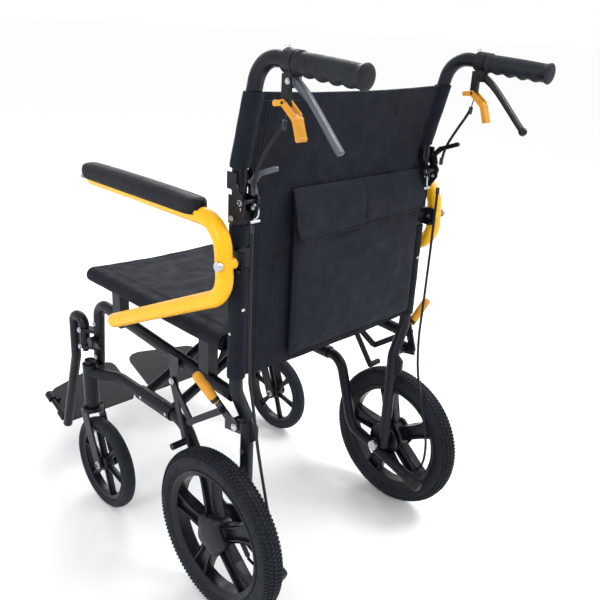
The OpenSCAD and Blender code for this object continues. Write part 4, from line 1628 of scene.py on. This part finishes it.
@dataclass
class Seat:
    """The sling seat between the seat rails. Millimetres."""

    rail_x: float = 207
    rail_z: float = 485
    front: float = -436
    rear: float = -26
    sleeve: float = 14.6
    thick: float = 3.0
    sag: float = 9.0
    wrap: float = 1.42
    seam_step: float = 4.0
    flats: int = 60
    bends: int = 14
    steps: int = 72
    keep: float = 0.375

    def ring(self, y: float) -> list[Vector]:
        """One closed outline of the seat, from its top round both sleeves.

        Args:
            y: Where it is.

        Returns:
            Points in metres.
        """
        out: list[Vector] = []
        for j in range(self.flats + 1):
            x = -self.rail_x + 2 * self.rail_x * j / self.flats
            out.append(DATUM.at(x, y, self.height(x, y)))
        loose = 1 + 0.03 * noise.noise(Vector((1, y * 0.03, 2)))
        turns = [math.pi / 2 - math.pi * self.wrap * j / self.bends for j in range(1, self.bends + 1)]
        radius = self.sleeve * loose
        sleeve = [(self.rail_x + radius * math.cos(a), self.rail_z + radius * math.sin(a)) for a in turns]
        out += [DATUM.at(x, y, z) for x, z in sleeve]
        inner = self.rail_x - 15
        for j in range(self.flats + 1):
            x = inner - 2 * inner * j / self.flats
            across = max(0.0, 1 - (x / self.rail_x) ** 2)
            drop = self.thick + 9 * max(0.0, 1 - (self.rail_x - abs(x)) / 22)
            out.append(DATUM.at(x, y, self.height(x, y) - drop - 0.5 * across))
        out += [DATUM.at(-x, y, z) for x, z in reversed(sleeve)]
        return out

    def height(self, x: float, y: float) -> float:
        """Height of the seat's top surface.

        Args:
            x: Its X.
            y: Its Y.

        Returns:
            The height.
        """
        across = max(0.0, 1 - (x / self.rail_x) ** 2)
        along = 0.75 + 0.25 * math.sin(math.pi * (y - self.front) / (self.rear - self.front))
        fold = crumple(DATUM.at(x, 0, y), 1.6, 75) * min(1.0, across * 3)
        return self.rail_z + self.sleeve - self.sag * across * along + fold

    def build(self) -> None:
        """Makes the seat with its sleeves and hems."""
        stations = [self.front + (self.rear - self.front) * k / self.steps for k in range(self.steps + 1)]
        shape = Shape().loft([self.ring(y) for y in stations])
        cloth = shape.piece("seat_cloth", PALETTE.nylon, smooth=70)
        recalculated(cloth)
        seat_on(cloth, "seat", "nylon", "seat_sling")
        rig.sheet(cloth, flat=(0.50, 0.41), held="stretched", rests_on=["side_frame_left", "side_frame_right"])
        self.fold_away(cloth)
        along = np.arange(self.front + 6, self.rear - 4, self.seam_step)
        lines = [[DATUM.at(x, y, self.height(x, y) + 0.5) for x in np.arange(-196, 197, self.seam_step)]
                 for y in (self.front + 8, self.front + 26, self.rear - 9)]
        lines += [[DATUM.at(s * x, y, self.height(s * x, y) + 0.4) for y in along]
                  for s in (1, -1) for x in (188, 182)]
        lines += [[DATUM.at(s * (self.rail_x + self.sleeve + 0.2), y, self.rail_z - 2) for y in along]
                  for s in (1, -1)]
        thread = stitches("seat_stitch", lines, PALETTE.thread)
        seat_on(thread, "seat", "nylon")
        self.fold_away(thread)

    def fold_away(self, piece: bpy.types.Object) -> None:
        """Lets the cloth crumple towards the left seat rail as the frame folds."""
        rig.squash(piece, "frame_fold", axis=(1, 0, 0), anchor=DATUM.at(self.rail_x, 0, 0), keep=self.keep)


# ---------- wheels ----------

TYRE_REACH = 124  # degrees to each side of the tread's middle that a tyre's round part goes


def about_x(shape: Shape, centre: Vector, outline: Sequence[Point], turn: float, low: float, high: float,
            bevel: float = 1.0, mark: int = 0) -> None:
    """Adds a plate that is turned about a wheel's axle.

    Args:
        shape: Where it goes.
        centre: The wheel's centre.
        outline: Pairs of Y and Z in millimetres from the centre, before it is turned.
        turn: The turn in radians.
        low: Its first X, from the wheel's middle plane.
        high: Its last X.
        bevel: Radius of its edges.
        mark: Which finish it takes.
    """
    place = Matrix.Translation(centre) @ Matrix.Rotation(turn, 4, "X")
    shape.slab(outline, low, high, bevel, mark, place)


@dataclass
class RearWheel:
    """A solid rear wheel: treaded tyre, five channel spokes and a hub cap. Millimetres."""

    side: Side
    x: float = 239
    radius: float = 151
    half: float = 20
    height: float = 36
    spokes: int = 5
    blocks: int = 124
    ridges: tuple[int, ...] = (50, 66, 82, 99, 114)
    web: tuple[tuple[float, float], ...] = (
        (-13, 24), (13, 24), (10.5, 60), (15, 104.5), (-15, 104.5), (-10.5, 60),
    )
    cap: tuple[tuple[float, float], ...] = (
        (35, 11), (36, 14.5), (35, 17.5), (31, 20.5), (23, 23), (14, 24.2), (7, 24.7), (0.01, 24.8),
    )
    rows: tuple[TreadRow, ...] = (
        TreadRow(3.5, 147.9, (5.6, 4.4, 4.0), 0.0, 20),
        TreadRow(-3.5, 147.9, (5.6, 4.4, 4.0), 0.5, 20),
        TreadRow(10.2, 145.9, (5.2, 4.3, 4.2), 0.5, -16, 22),
        TreadRow(-10.2, 145.9, (5.2, 4.3, 4.2), 0.0, -16, -22),
        TreadRow(15.7, 141.0, (4.4, 3.6, 4.4), 0.0, 0, 50),
        TreadRow(-15.7, 141.0, (4.4, 3.6, 4.4), 0.5, 0, -50),
    )

    @property
    def inner(self) -> float:
        """Radius of the tyre's seat on the rim."""
        return self.radius - self.height

    def tyre(self, centre: Vector, out: Vector, body: str) -> None:
        """Makes the tyre and its tread.

        Args:
            centre: The wheel's centre.
            out: The way out from the chair.
            body: The body it turns with.
        """
        word = self.side.word
        profile = []
        middle, tall = self.radius - 20, 17.4
        for a in range(-TYRE_REACH, TYRE_REACH + 1, 2):
            bump = sum(0.8 * math.exp(-(((abs(a) - r) / 2.4) ** 2)) for r in self.ridges)
            turn = math.radians(a)
            radius = middle + (tall + bump) * math.cos(turn)
            profile.append((radius, (self.half - 1.0 + bump) * math.sin(turn)))
        profile += [(self.inner, 14.4), (self.inner, -14.4)]
        shape = Shape().lathe(profile, centre, out, 120, ring=True)
        carcass = recalculated(shape.piece(f"rear_tyre_body_{word}", PALETTE.tyre, smooth=60))
        seat_on(carcass, body, "tyre", f"rear_tyre_{word}")
        blocks = tread(f"rear_tread_{word}", centre, self.rows, self.blocks, PALETTE.tyre)
        seat_on(blocks, body, "tyre")

    def rim(self, centre: Vector, out: Vector, body: str) -> None:
        """Makes the rim with its channel spokes.

        Args:
            centre: The wheel's centre.
            out: The way out from the chair.
            body: The body it turns with.
        """
        word = self.side.word
        rim = Shape()
        lip = self.inner + 0.2
        wall = [(lip, 14.6), (lip - 1, 16), (lip - 3, 16.4), (lip - 5, 15), (lip - 9, 13), (lip - 11.5, 11)]
        profile = [(lip, -14.6), *wall, (lip - 12, 0), *((r, -h) for r, h in reversed(wall[1:]))]
        rim.lathe(profile, centre, out, 96, ring=True)
        for k in range(self.spokes):
            turn = 2 * math.pi * (k + 0.18) / self.spokes
            about_x(rim, centre, self.web, turn, -4, 4, 1.2)
            for way in (1, -1):
                edge = [(way * 13.4, 22), (way * 11.0, 60), (way * 15.6, 105)]
                about_x(rim, centre, ribbon(edge, [2.4, 2.2, 2.6]), turn, -9.5, 10.5, 1.4)
        rim.lathe([(0, -17), (30, -17), (33, -14), (34, 8), (31, 12), (27, 14), (0, 14)], centre, out, 60)
        piece = recalculated(rim.piece(f"rear_rim_body_{word}", PALETTE.wheel_plastic))
        seat_on(piece, body, "black_plastic", f"rear_rim_{word}")

    def hub_cap(self, centre: Vector, body: str) -> None:
        """Makes the lobed hub cap.

        Args:
            centre: The wheel's centre.
            body: The body it turns with.
        """
        rings = []
        for r, h in self.cap:
            ring = []
            for j in range(90):
                a = 2 * math.pi * j / 90
                lobe = 1 + 0.07 * math.cos(self.spokes * a) * (1 if r > 15 else 0)
                spot = Vector((self.side.value * h, r * lobe * math.cos(a), r * lobe * math.sin(a)))
                ring.append(centre + spot * MM)
            rings.append(ring)
        piece = Shape().loft(rings).piece(f"rear_hub_cap_{self.side.word}", PALETTE.plastic)
        seat_on(recalculated(piece), body, "black_plastic")

    def build(self) -> None:
        """Makes the tyre, its tread, the rim and the cap."""
        body = f"rear_wheel_{self.side.word}"
        centre = DATUM.at(self.side.value * self.x, 0, self.radius)
        out = Vector((self.side.value, 0, 0))
        self.tyre(centre, out, body)
        self.rim(centre, out, body)
        self.hub_cap(centre, body)


@dataclass
class CasterWheel:
    """A front wheel: smooth tyre and six slim spokes. Millimetres."""

    side: Side
    x: float = 238
    y: float = -371
    radius: float = 98
    half: float = 14
    height: float = 20
    spokes: int = 6

    def build(self) -> None:
        """Makes the tyre and the rim."""
        sign, word = self.side.value, self.side.word
        body = f"caster_wheel_{word}"
        centre = DATUM.at(sign * self.x, self.y, self.radius)
        out = Vector((sign, 0, 0))
        profile = []
        for a in range(-TYRE_REACH, TYRE_REACH + 1, 2):
            turn = math.radians(a)
            bump = sum(0.5 * math.exp(-(((abs(a) - r) / 3) ** 2)) for r in (38, 96))
            radius = self.radius - 11.5 + (11.0 + bump) * math.cos(turn)
            profile.append((radius, (self.half - 0.5 + bump) * math.sin(turn)))
        inner = self.radius - self.height
        profile += [(inner, 9.6), (inner, -9.6)]
        tyre = Shape().lathe(profile, centre, out, 96, ring=True)
        carcass = recalculated(tyre.piece(f"caster_tyre_body_{word}", PALETTE.tyre, smooth=60))
        seat_on(carcass, body, "tyre", f"caster_tyre_{word}")
        rim = Shape()
        lip = inner + 0.2
        wall = [(lip, 10), (lip - 2, 11.2), (lip - 5, 9.4), (lip - 8.5, 8)]
        profile = [(lip, -10), *wall, (lip - 9.5, 0), *((r, -h) for r, h in reversed(wall[1:]))]
        rim.lathe(profile, centre, out, 80, ring=True)
        web = [(-6.5, 12), (6.5, 12), (5, 40), (7.5, 70), (-7.5, 70), (-5, 40)]
        for k in range(self.spokes):
            turn = 2 * math.pi * (k + 0.3) / self.spokes
            about_x(rim, centre, web, turn, -3, 3, 1.0)
            about_x(rim, centre, [(-1.6, 14), (1.6, 14), (1.6, 69), (-1.6, 69)], turn, -7, 7, 0.8)
        hub = [(0, -12), (12, -12), (15, -10), (16.5, -6), (16.5, 6), (15, 10), (12, 12), (0, 12)]
        rim.lathe(hub, centre, out, 48)
        piece = recalculated(rim.piece(f"caster_rim_body_{word}", PALETTE.wheel_plastic))
        seat_on(piece, body, "black_plastic", f"caster_rim_{word}")


# ---------- arms, handles ----------


@dataclass
class ArmPad:
    """A crowned, stuffed arm pad. Millimetres."""

    side: Side
    x: float = 253
    rear: float = -24
    long: float = 326
    wide: float = 40
    tall: float = 30
    base: float = 696
    nose: float = 20
    corner: float = 0.62

    def build(self) -> None:
        """Makes the pad and its seam."""
        sign, word = self.side.value, self.side.word
        shape = Shape()
        rings = []
        steps, sides = 60, 28
        half = self.wide / 2 - 1.4
        reach = self.long / 2 - self.nose
        for k in range(steps + 1):
            t = -1 + 2 * k / steps
            y = self.rear - self.long / 2 + t * (self.long / 2 - 1.0)
            end = max(0.0, (abs(t) * self.long / 2 - reach) / self.nose)
            narrow = math.sqrt(max(0.02, 1 - min(1.0, end) ** 2.4))
            ring = []
            for j in range(sides):
                a = 2 * math.pi * j / sides
                c, s = math.cos(a), math.sin(a)
                px = half * narrow * math.copysign(abs(c) ** self.corner, c)
                pz = (self.tall / 2 - 1.2) * math.copysign(abs(s) ** self.corner, s) * (0.55 + 0.45 * narrow)
                crown = 1 - t * t if s > 0 else 0
                ring.append(DATUM.at(sign * self.x + px, y, self.base + self.tall / 2 - 0.4 + pz + crown))
            rings.append(ring)
        shape.loft(rings)
        pad = recalculated(shape.piece(f"arm_pad_cover_{word}", PALETTE.vinyl, smooth=80))
        low = DATUM.at(0, 0, self.base + 5).z
        inflate(pad, 4.5, 3.2, 2.2, 10, lambda c: 1.0 if c.z < low else 0.0)
        seat_on(pad, f"arm_{word}", "pad_vinyl", f"arm_pad_{word}")
        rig.padded(pad, fill=0.9)
        seam = Shape()
        line = []
        for k in range(72):
            a = 2 * math.pi * k / 72
            c, s = math.cos(a), math.sin(a)
            px = (half + 1.2) * c
            py = math.copysign(reach, s) * (1 if abs(s) > 0.12 else abs(s) / 0.12) + 18.5 * s
            line.append(DATUM.at(sign * self.x + px, self.rear - self.long / 2 + py, self.base + 6))
        seam.tube(line, 0.9 * MM, 6, closed=True)
        seat_on(seam.piece(f"arm_pad_seam_{word}", PALETTE.vinyl), f"arm_{word}", "pad_vinyl")


@dataclass
class PushGrip:
    """A push grip with finger notches below and a lipped end. Millimetres."""

    side: Side
    x: float = 216
    start_y: float = 119
    end_y: float = 231
    top: tuple[float, float] = (50, 922)
    drop: float = 4.4
    notches: int = 4
    sides: int = 48
    steps: int = 110
    collar: float = 9
    lip: float = 12

    def radius(self, h: float, long: float) -> float:
        """The grip's radius before its notches.

        Args:
            h: The distance from its front end.
            long: Its length.

        Returns:
            The radius.
        """
        if h < 5:
            return 15.6 - 0.5 * (1 - h / 5) ** 2
        if h < self.collar:
            return 15.6 - 1.8 * (h - 5) / 4
        if h > long - 3:
            return 16.2 * math.sqrt(max(0.01, 1 - ((h - long + 3) / 3.02) ** 2 * 0.55))
        if h > long - self.lip:
            return 13.9 + 2.3 * ((h - long + self.lip) / 9) ** 1.6
        return 13.8 + 0.5 * math.sin(math.pi * (h - self.collar) / (long - self.collar - self.lip))

    def wave(self, h: float, long: float, a: float) -> float:
        """How far the finger notches and fine rings move the surface out.

        Args:
            h: The distance from its front end.
            long: Its length.
            a: The angle round it, in radians.

        Returns:
            The move.
        """
        if not self.collar < h < long - self.lip:
            return 0.0
        low = max(0.0, -math.sin(a)) ** 1.4
        u = (h - self.collar) / (long - self.collar - self.lip)
        notch = -math.cos(2 * math.pi * self.notches * u) * math.sin(math.pi * u) ** 0.35
        rings = 0.28 * math.cos(2 * math.pi * h / 3.2) * (1 - low) * abs(math.cos(a)) ** 2
        return 1.7 * low * notch + 0.9 * low + rings

    def build(self) -> None:
        """Makes the grip."""
        sign, word = self.side.value, self.side.word
        slope = math.tan(math.radians(self.drop))
        along = Vector((0, 1, -slope)).normalized()
        up = Vector((0, slope, 1)).normalized()
        across = Vector((1, 0, 0))
        start = DATUM.at(sign * self.x, self.start_y, self.top[1] - (self.start_y - self.top[0]) * slope)
        long = (self.end_y - self.start_y) / along.y
        angles = [2 * math.pi * j / self.sides for j in range(self.sides)]
        ways = [across * math.cos(a) + up * math.sin(a) for a in angles]
        rings = []
        for k in range(self.steps + 1):
            h = long * (k / self.steps)
            r = self.radius(h, long)
            rings.append([start + along * h * MM + way * (r + self.wave(h, long, a)) * MM
                          for a, way in zip(angles, ways, strict=True)])
        hub = start + along * (long + 0.5) * MM
        rings += [[hub + way * r * MM for way in ways] for r in (8.0, 0.01)]
        grip = Shape().loft(rings).piece(f"push_grip_{word}", PALETTE.grip, smooth=50)
        seat_on(recalculated(grip), f"back_upper_{word}", "grip_rubber", f"grip_{word}")


@dataclass
class HandBrake:
    """The curved hand brake lever under a push grip. Millimetres."""

    side: Side
    x: float = 216
    half: float = 5.2
    line: tuple[tuple[float, float], ...] = (
        (111, 895), (121, 891), (132, 883.5), (144, 873), (158, 859), (172, 844.5), (186, 830), (199, 817),
    )
    halves: tuple[float, ...] = (6.0, 5.4, 4.8, 4.4, 4.2, 4.1, 4.0, 4.0)

    def build(self) -> None:
        """Makes the lever with its pivot boss, and the bulb on the right one's end."""
        word = self.side.word
        shape = Shape()
        left, right = [], []
        for i, p in enumerate(self.line):
            a, b = self.line[max(i - 1, 0)], self.line[min(i + 1, len(self.line) - 1)]
            run = math.hypot(b[0] - a[0], b[1] - a[1])
            ny, nz = -(b[1] - a[1]) / run, (b[0] - a[0]) / run
            left.append((p[0] + ny * self.halves[i], p[1] + nz * self.halves[i]))
            right.append((p[0] - ny * self.halves[i], p[1] - nz * self.halves[i]))
        outline = rounded(left + right[::-1], 2.2, 3)
        shape.slab(outline, self.x - self.half, self.x + self.half, 2.2)
        shape.lathe([(0, -7.5), (6.2, -7.5), (7, -6.8), (7, 6.8), (6.2, 7.5), (0, 7.5)],
                    DATUM.at(self.x, 112, 894.5), Vector((1, 0, 0)), 32)
        if self.side is Side.RIGHT:
            shape.lathe([(0, -7), (4, -6.2), (6.4, -3), (7, 0), (6.4, 3), (4, 6.2), (0, 7)],
                        DATUM.at(self.x, 199, 817), Vector((0, 0.7, -0.7)), 28)
        # The left lever's paler coat is painted light; both levers are of one paint, the right shown in the dark lever
        # coat.
        finish = PALETTE.lever if self.side is Side.LEFT else PALETTE.dark_lever
        lever = shape.on(self.side).piece(f"hand_brake_{word}", finish)
        seat_on(recalculated(lever), f"brake_lever_{word}", "lever_paint", f"brake_lever_{word}")


@dataclass
class ParkingGrip:
    """The ochre grip on a parking brake's lever. Millimetres and degrees."""

    side: Side
    low: tuple[float, float, float] = (234.8, -15, 396)
    high: tuple[float, float, float] = (256.8, -34, 440)
    pivot: tuple[float, float] = (28, 366)
    turn: float = 41
    radius: float = 8.3

    def build(self) -> None:
        """Makes the grip. The right one is in its set place."""
        shape = Shape()
        low, high = DATUM.at(*self.low), DATUM.at(*self.high)
        way = (high - low).normalized()
        long = (high - low).length / MM
        profile = [(0, -3.0), (4.5, -2.9), (6.6, -2.0), (7.4, 0.5), (7.0, 4), (7.4, 7)]
        profile += [(self.radius - 0.5 * math.sin(math.pi * k / 6) ** 2, 9 + (long - 11) * k / 12)
                    for k in range(13)]
        profile += [(self.radius - 0.3, long), (self.radius - 1.2, long + 2.6)]
        profile += [(self.radius - 3.4, long + 4.6), (0, long + 5.2)]
        shape.lathe(profile, low, way, 32)
        if self.side is Side.RIGHT:
            hub = DATUM.at(0, *self.pivot)
            turn = Matrix.Rotation(math.radians(-self.turn), 4, "X")
            swing = Matrix.Translation(hub) @ turn @ Matrix.Translation(-hub)
            shape.verts = [swing @ v for v in shape.verts]
        grip = shape.on(self.side).piece(f"parking_grip_{self.side.word}", PALETTE.ochre)
        seat_on(recalculated(grip), f"parking_lever_{self.side.word}", "ochre_plastic")


# Turned profiles, as pairs of radius and height in millimetres.
FERRULE = ((0, -9), (2.9, -9), (3.4, -8.2), (3.4, 2.4), (2.8, 3.2), (0, 3.2))
TIP = (
    (0, 13.5), (8, 13.2), (11.4, 11.6), (12.6, 8.6), (12.9, 3), (12.9, 0), (12.4, -1.2), (12.9, -2.4),
    (12.7, -20), (12.3, -22), (11.2, -22.6),
)


@dataclass
class Hardware:
    """Bolts, end plugs and trims on the frame, on one side. Millimetres."""

    side: Side

    def at(self, x: float, y: float, z: float) -> Vector:
        """A point on this side."""
        return DATUM.at(self.side.value * x, y, z)

    def bolts(self, name: str, body: str, spots: Sequence[tuple[Vector, Vector]], radius: float,
              height: float) -> None:
        """Makes a set of zinc bolts.

        Args:
            name: The set's name.
            body: The body they are on.
            spots: Pairs of place and outward direction.
            radius: Radius of a head.
            height: Height of a head.
        """
        heads = bolt_heads(f"{name}_{self.side.word}", spots, radius, height, PALETTE.zinc)
        seat_on(heads, body, "zinc_steel")

    def all_bolts(self, fixed: str) -> None:
        """Makes the bolts.

        Args:
            fixed: The body of this side's frame.
        """
        word = self.side.word
        out, rear, up = Vector((self.side.value, 0, 0)), Vector((0, 1, 0)), Vector((0, 0, 1))
        spots = [(self.at(218.2, -424, z), out) for z in (312, 348, 384)]
        spots += [(self.at(201, 12, 300), -out), (self.at(227.2, 12, 520), out)]
        spots += [(self.at(216, 23.2, 560), rear)]
        spots += [(self.at(218.2, y, 290), out) for y in (-260, -180)]
        self.bolts("frame_bolts", fixed, spots, 3.6, 2.6)
        hinge = [(self.at(x, 31, 716), rear) for x in (206, 226)]
        hinge += [(self.at(232.4, 32, 726), out), (self.at(199.6, 32, 726), -out)]
        hinge += [(self.at(232.4, 14, 700), out)]
        self.bolts("hinge_bolts", fixed, hinge, 3.2, 2.4)
        self.bolts("lug_bolts", fixed, [(self.at(235.4, -454, z), out) for z in (330, 366)], 4.2, 3.0)
        clamp = [(self.at(216, 100, 934.5), up), (self.at(226.5, 112, 894.5), out)]
        self.bolts("clamp_bolts", f"back_upper_{word}", clamp, 3.0, 2.4)
        fork = [(self.at(238 + 19.2, -371, 98), out), (self.at(238 - 19.2, -371, 98), -out)]
        self.bolts("fork_bolts", f"caster_fork_{word}", fork, 6.0, 4.0)
        parking = [(self.at(231.9, 28, 366), out), (self.at(231.9, -140, 378), out)]
        self.bolts("parking_bolts", fixed, parking, 4.5, 3.0)

    def cable_ends(self, fixed: str) -> None:
        """Makes the ferrules on the brake cable and the inner wire above.

        Args:
            fixed: The body of this side's frame.
        """
        word = self.side.word
        ends = Shape()
        ends.lathe(FERRULE, self.at(216, 98, 842), Vector((0, 0.1, 1)), 24)
        ends.lathe(FERRULE, self.at(222, 48, 742), Vector((0, 0, -1)), 24)
        ends.tube([self.at(216, 98, 842), self.at(216, 101.5, 858), self.at(216, 105, 878)], 0.95 * MM, 8)
        seat_on(ends.piece(f"cable_ends_{word}", PALETTE.dark_steel), f"back_upper_{word}", "zinc_steel")
        cup = Shape().lathe(FERRULE, self.at(222, 48, 694), Vector((0, 0, 1)), 24)
        seat_on(cup.piece(f"cable_cup_{word}", PALETTE.dark_steel), fixed, "zinc_steel")

    def build(self) -> None:
        """Makes the hardware."""
        word = self.side.word
        fixed = f"{word}_frame"
        self.all_bolts(fixed)
        clip = Shape()
        bail = [(207, 33, 722), (202, 36, 717), (201, 37, 709), (203, 36, 702), (208, 34, 699)]
        clip.tube(catmull([self.at(*p) for p in bail], 5), 1.5 * MM, 10)
        bar = [(197, 34, 696), (203, 34.6, 696), (209, 34.6, 696), (214, 34, 696)]
        clip.tube([self.at(*p) for p in bar], 2.4 * MM, 12)
        seat_on(clip.piece(f"hinge_clip_{word}", PALETTE.zinc), fixed, "zinc_steel")
        self.cable_ends(fixed)
        along = Vector((0, 186, -58)).normalized()
        tip = Shape().lathe(TIP, self.at(190, 108, 98) - along * 9 * MM, along, 40)
        seat_on(recalculated(tip.piece(f"tipping_cap_{word}", PALETTE.tip)), fixed, "grip_rubber")


# ---------- CAD nodes ----------


class Dresser:
    """Gives every CAD node that still shows its material."""

    rules: tuple[tuple[str, str], ...] = (
        ("hinge", "plastic"), ("pivot_bolts", "zinc"), ("arm_tube", "yellow"),
        ("parking_lever", "dark_lever"), ("lock_latch", "ochre"), ("grip", "grip"), ("cable", "cable"),
        ("drum", "dark_steel"),
        ("footplate", "plastic"), ("tyre", "tyre"), ("rim", "wheel_plastic"), ("clamp", "plastic"),
        # The left brake lever and left back latch take the paler lever coat, painted light; the right ones take the
        # dark lever coat of the same paint.
        ("brake_lever_left", "lever"), ("brake_lever", "dark_lever"), ("back_latch_left", "lever"),
        ("back_latch", "dark_lever"), ("bracket", "dark_steel"), ("sling", "nylon"), ("pocket", "pocket"),
        ("pad", "vinyl"), ("latch", "plastic"),
    )

    def build(self) -> None:
        """Sets the materials."""
        for name, obj in frame["nodes"].items():
            finish = next((f for part, f in self.rules if part in name), "frame")
            obj.data.materials.clear()
            obj.data.materials.append(getattr(PALETTE, finish))
            LOG.info("%s in %s", name, finish)


# ---------- studio ----------


@dataclass
class Studio:
    """Floor, soft lights and camera. Millimetres from the axle's floor point, degrees, sight in metres."""

    azimuth: float = 134.38
    elevation: float = 21.27
    roll: float = 3.03
    distance: float = 2279.39
    target: tuple[float, float, float] = (-664.43, -718.84, 133.41)
    lens: float = 42.454
    sensor: float = 36
    sight: float = 400
    floor_reach: float = 90000.0

    def floor(self) -> None:
        """Makes the floor."""
        shape = Shape()
        far = self.floor_reach
        corners = ((-far, -far), (far, -far), (far, far), (-far, far))
        shape.add([DATUM.at(x, y, -0.5) for x, y in corners], [(0, 1, 2, 3)])
        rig.stage(shape.piece("studio_floor", PALETTE.floor))

    def camera(self) -> None:
        """Makes the camera."""
        a, e, r = (math.radians(v) for v in (self.azimuth, self.elevation, self.roll))
        back = Vector((math.sin(a) * math.cos(e), -math.cos(a) * math.cos(e), math.sin(e)))
        right = (-back).cross(Vector((0, 0, 1))).normalized()
        up = right.cross(-back)
        across = right * math.cos(r) + up * math.sin(r)
        over = up * math.cos(r) - right * math.sin(r)
        data = bpy.data.cameras.new("camera")
        data.sensor_width, data.lens, data.clip_end = self.sensor, self.lens, self.sight
        cam = bpy.data.objects.new("camera", data)
        place = Matrix((across, over, back)).transposed().to_4x4()
        place.translation = DATUM.at(*self.target) + back * self.distance * MM
        cam.matrix_world = place
        bpy.context.scene.collection.objects.link(cam)
        bpy.context.scene.camera = cam

    def light(self, name: str, at: Point, aim: Point, size: float, power: float,
              tint: Point = (1, 1, 1)) -> None:
        """Adds one softbox.

        Args:
            name: Its name.
            at: Where it hangs.
            aim: What it points at.
            size: Its side in metres.
            power: Its power in watts.
            tint: Its colour.
        """
        data = bpy.data.lights.new(name, "AREA")
        data.shape, data.size, data.energy, data.color = "SQUARE", size, power, tint
        lamp = bpy.data.objects.new(name, data)
        way = DATUM.at(*aim) - DATUM.at(*at)
        lamp.rotation_euler = way.to_track_quat("-Z", "Y").to_euler()
        lamp.location = DATUM.at(*at)
        bpy.context.scene.collection.objects.link(lamp)
        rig.stage(lamp)

    def build(self) -> None:
        """Makes the whole studio."""
        self.floor()
        self.camera()
        self.light("key", (-1300, 900, 2600), (0, 0, 500), 1.0, 40)
        self.light("side", (2300, 300, 1500), (0, -50, 500), 0.8, 20, (0.86, 0.92, 1.0))
        self.light("rim", (-1500, -2200, 2300), (0, -100, 500), 1.2, 28)
        world = bpy.data.worlds.new("studio_air")
        world.use_nodes = True
        back = world.node_tree.nodes["Background"]
        back.inputs["Color"].default_value = (1.0, 1.0, 1.0, 1)
        back.inputs["Strength"].default_value = 1.0
        bpy.context.scene.view_settings.view_transform = "Standard"
        bpy.context.scene.world = world


def write_sizes() -> None:
    """Writes the CAD box and the visual model's box."""
    boxes = {"cad": CAD_BOX, "visual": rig.bounds()}
    plain = {key: [[float(c) for c in corner] for corner in value] for key, value in boxes.items()}
    with open(SIZE_FILE, "w", encoding="utf-8") as out:
        json.dump(plain, out)


def main() -> None:
    """Builds the chair's looks, piece by piece."""
    logging.basicConfig(level=logging.INFO, format="%(message)s")
    Dresser().build()
    for side in Side:
        RearWheel(side).build()
        CasterWheel(side).build()
        ArmPad(side).build()
        PushGrip(side).build()
        ParkingGrip(side).build()
        HandBrake(side).build()
        Hardware(side).build()
    Back().build()
    Pocket().build()
    Seat().build()
    Studio().build()
    write_sizes()


if __name__ == "__main__":
    main()
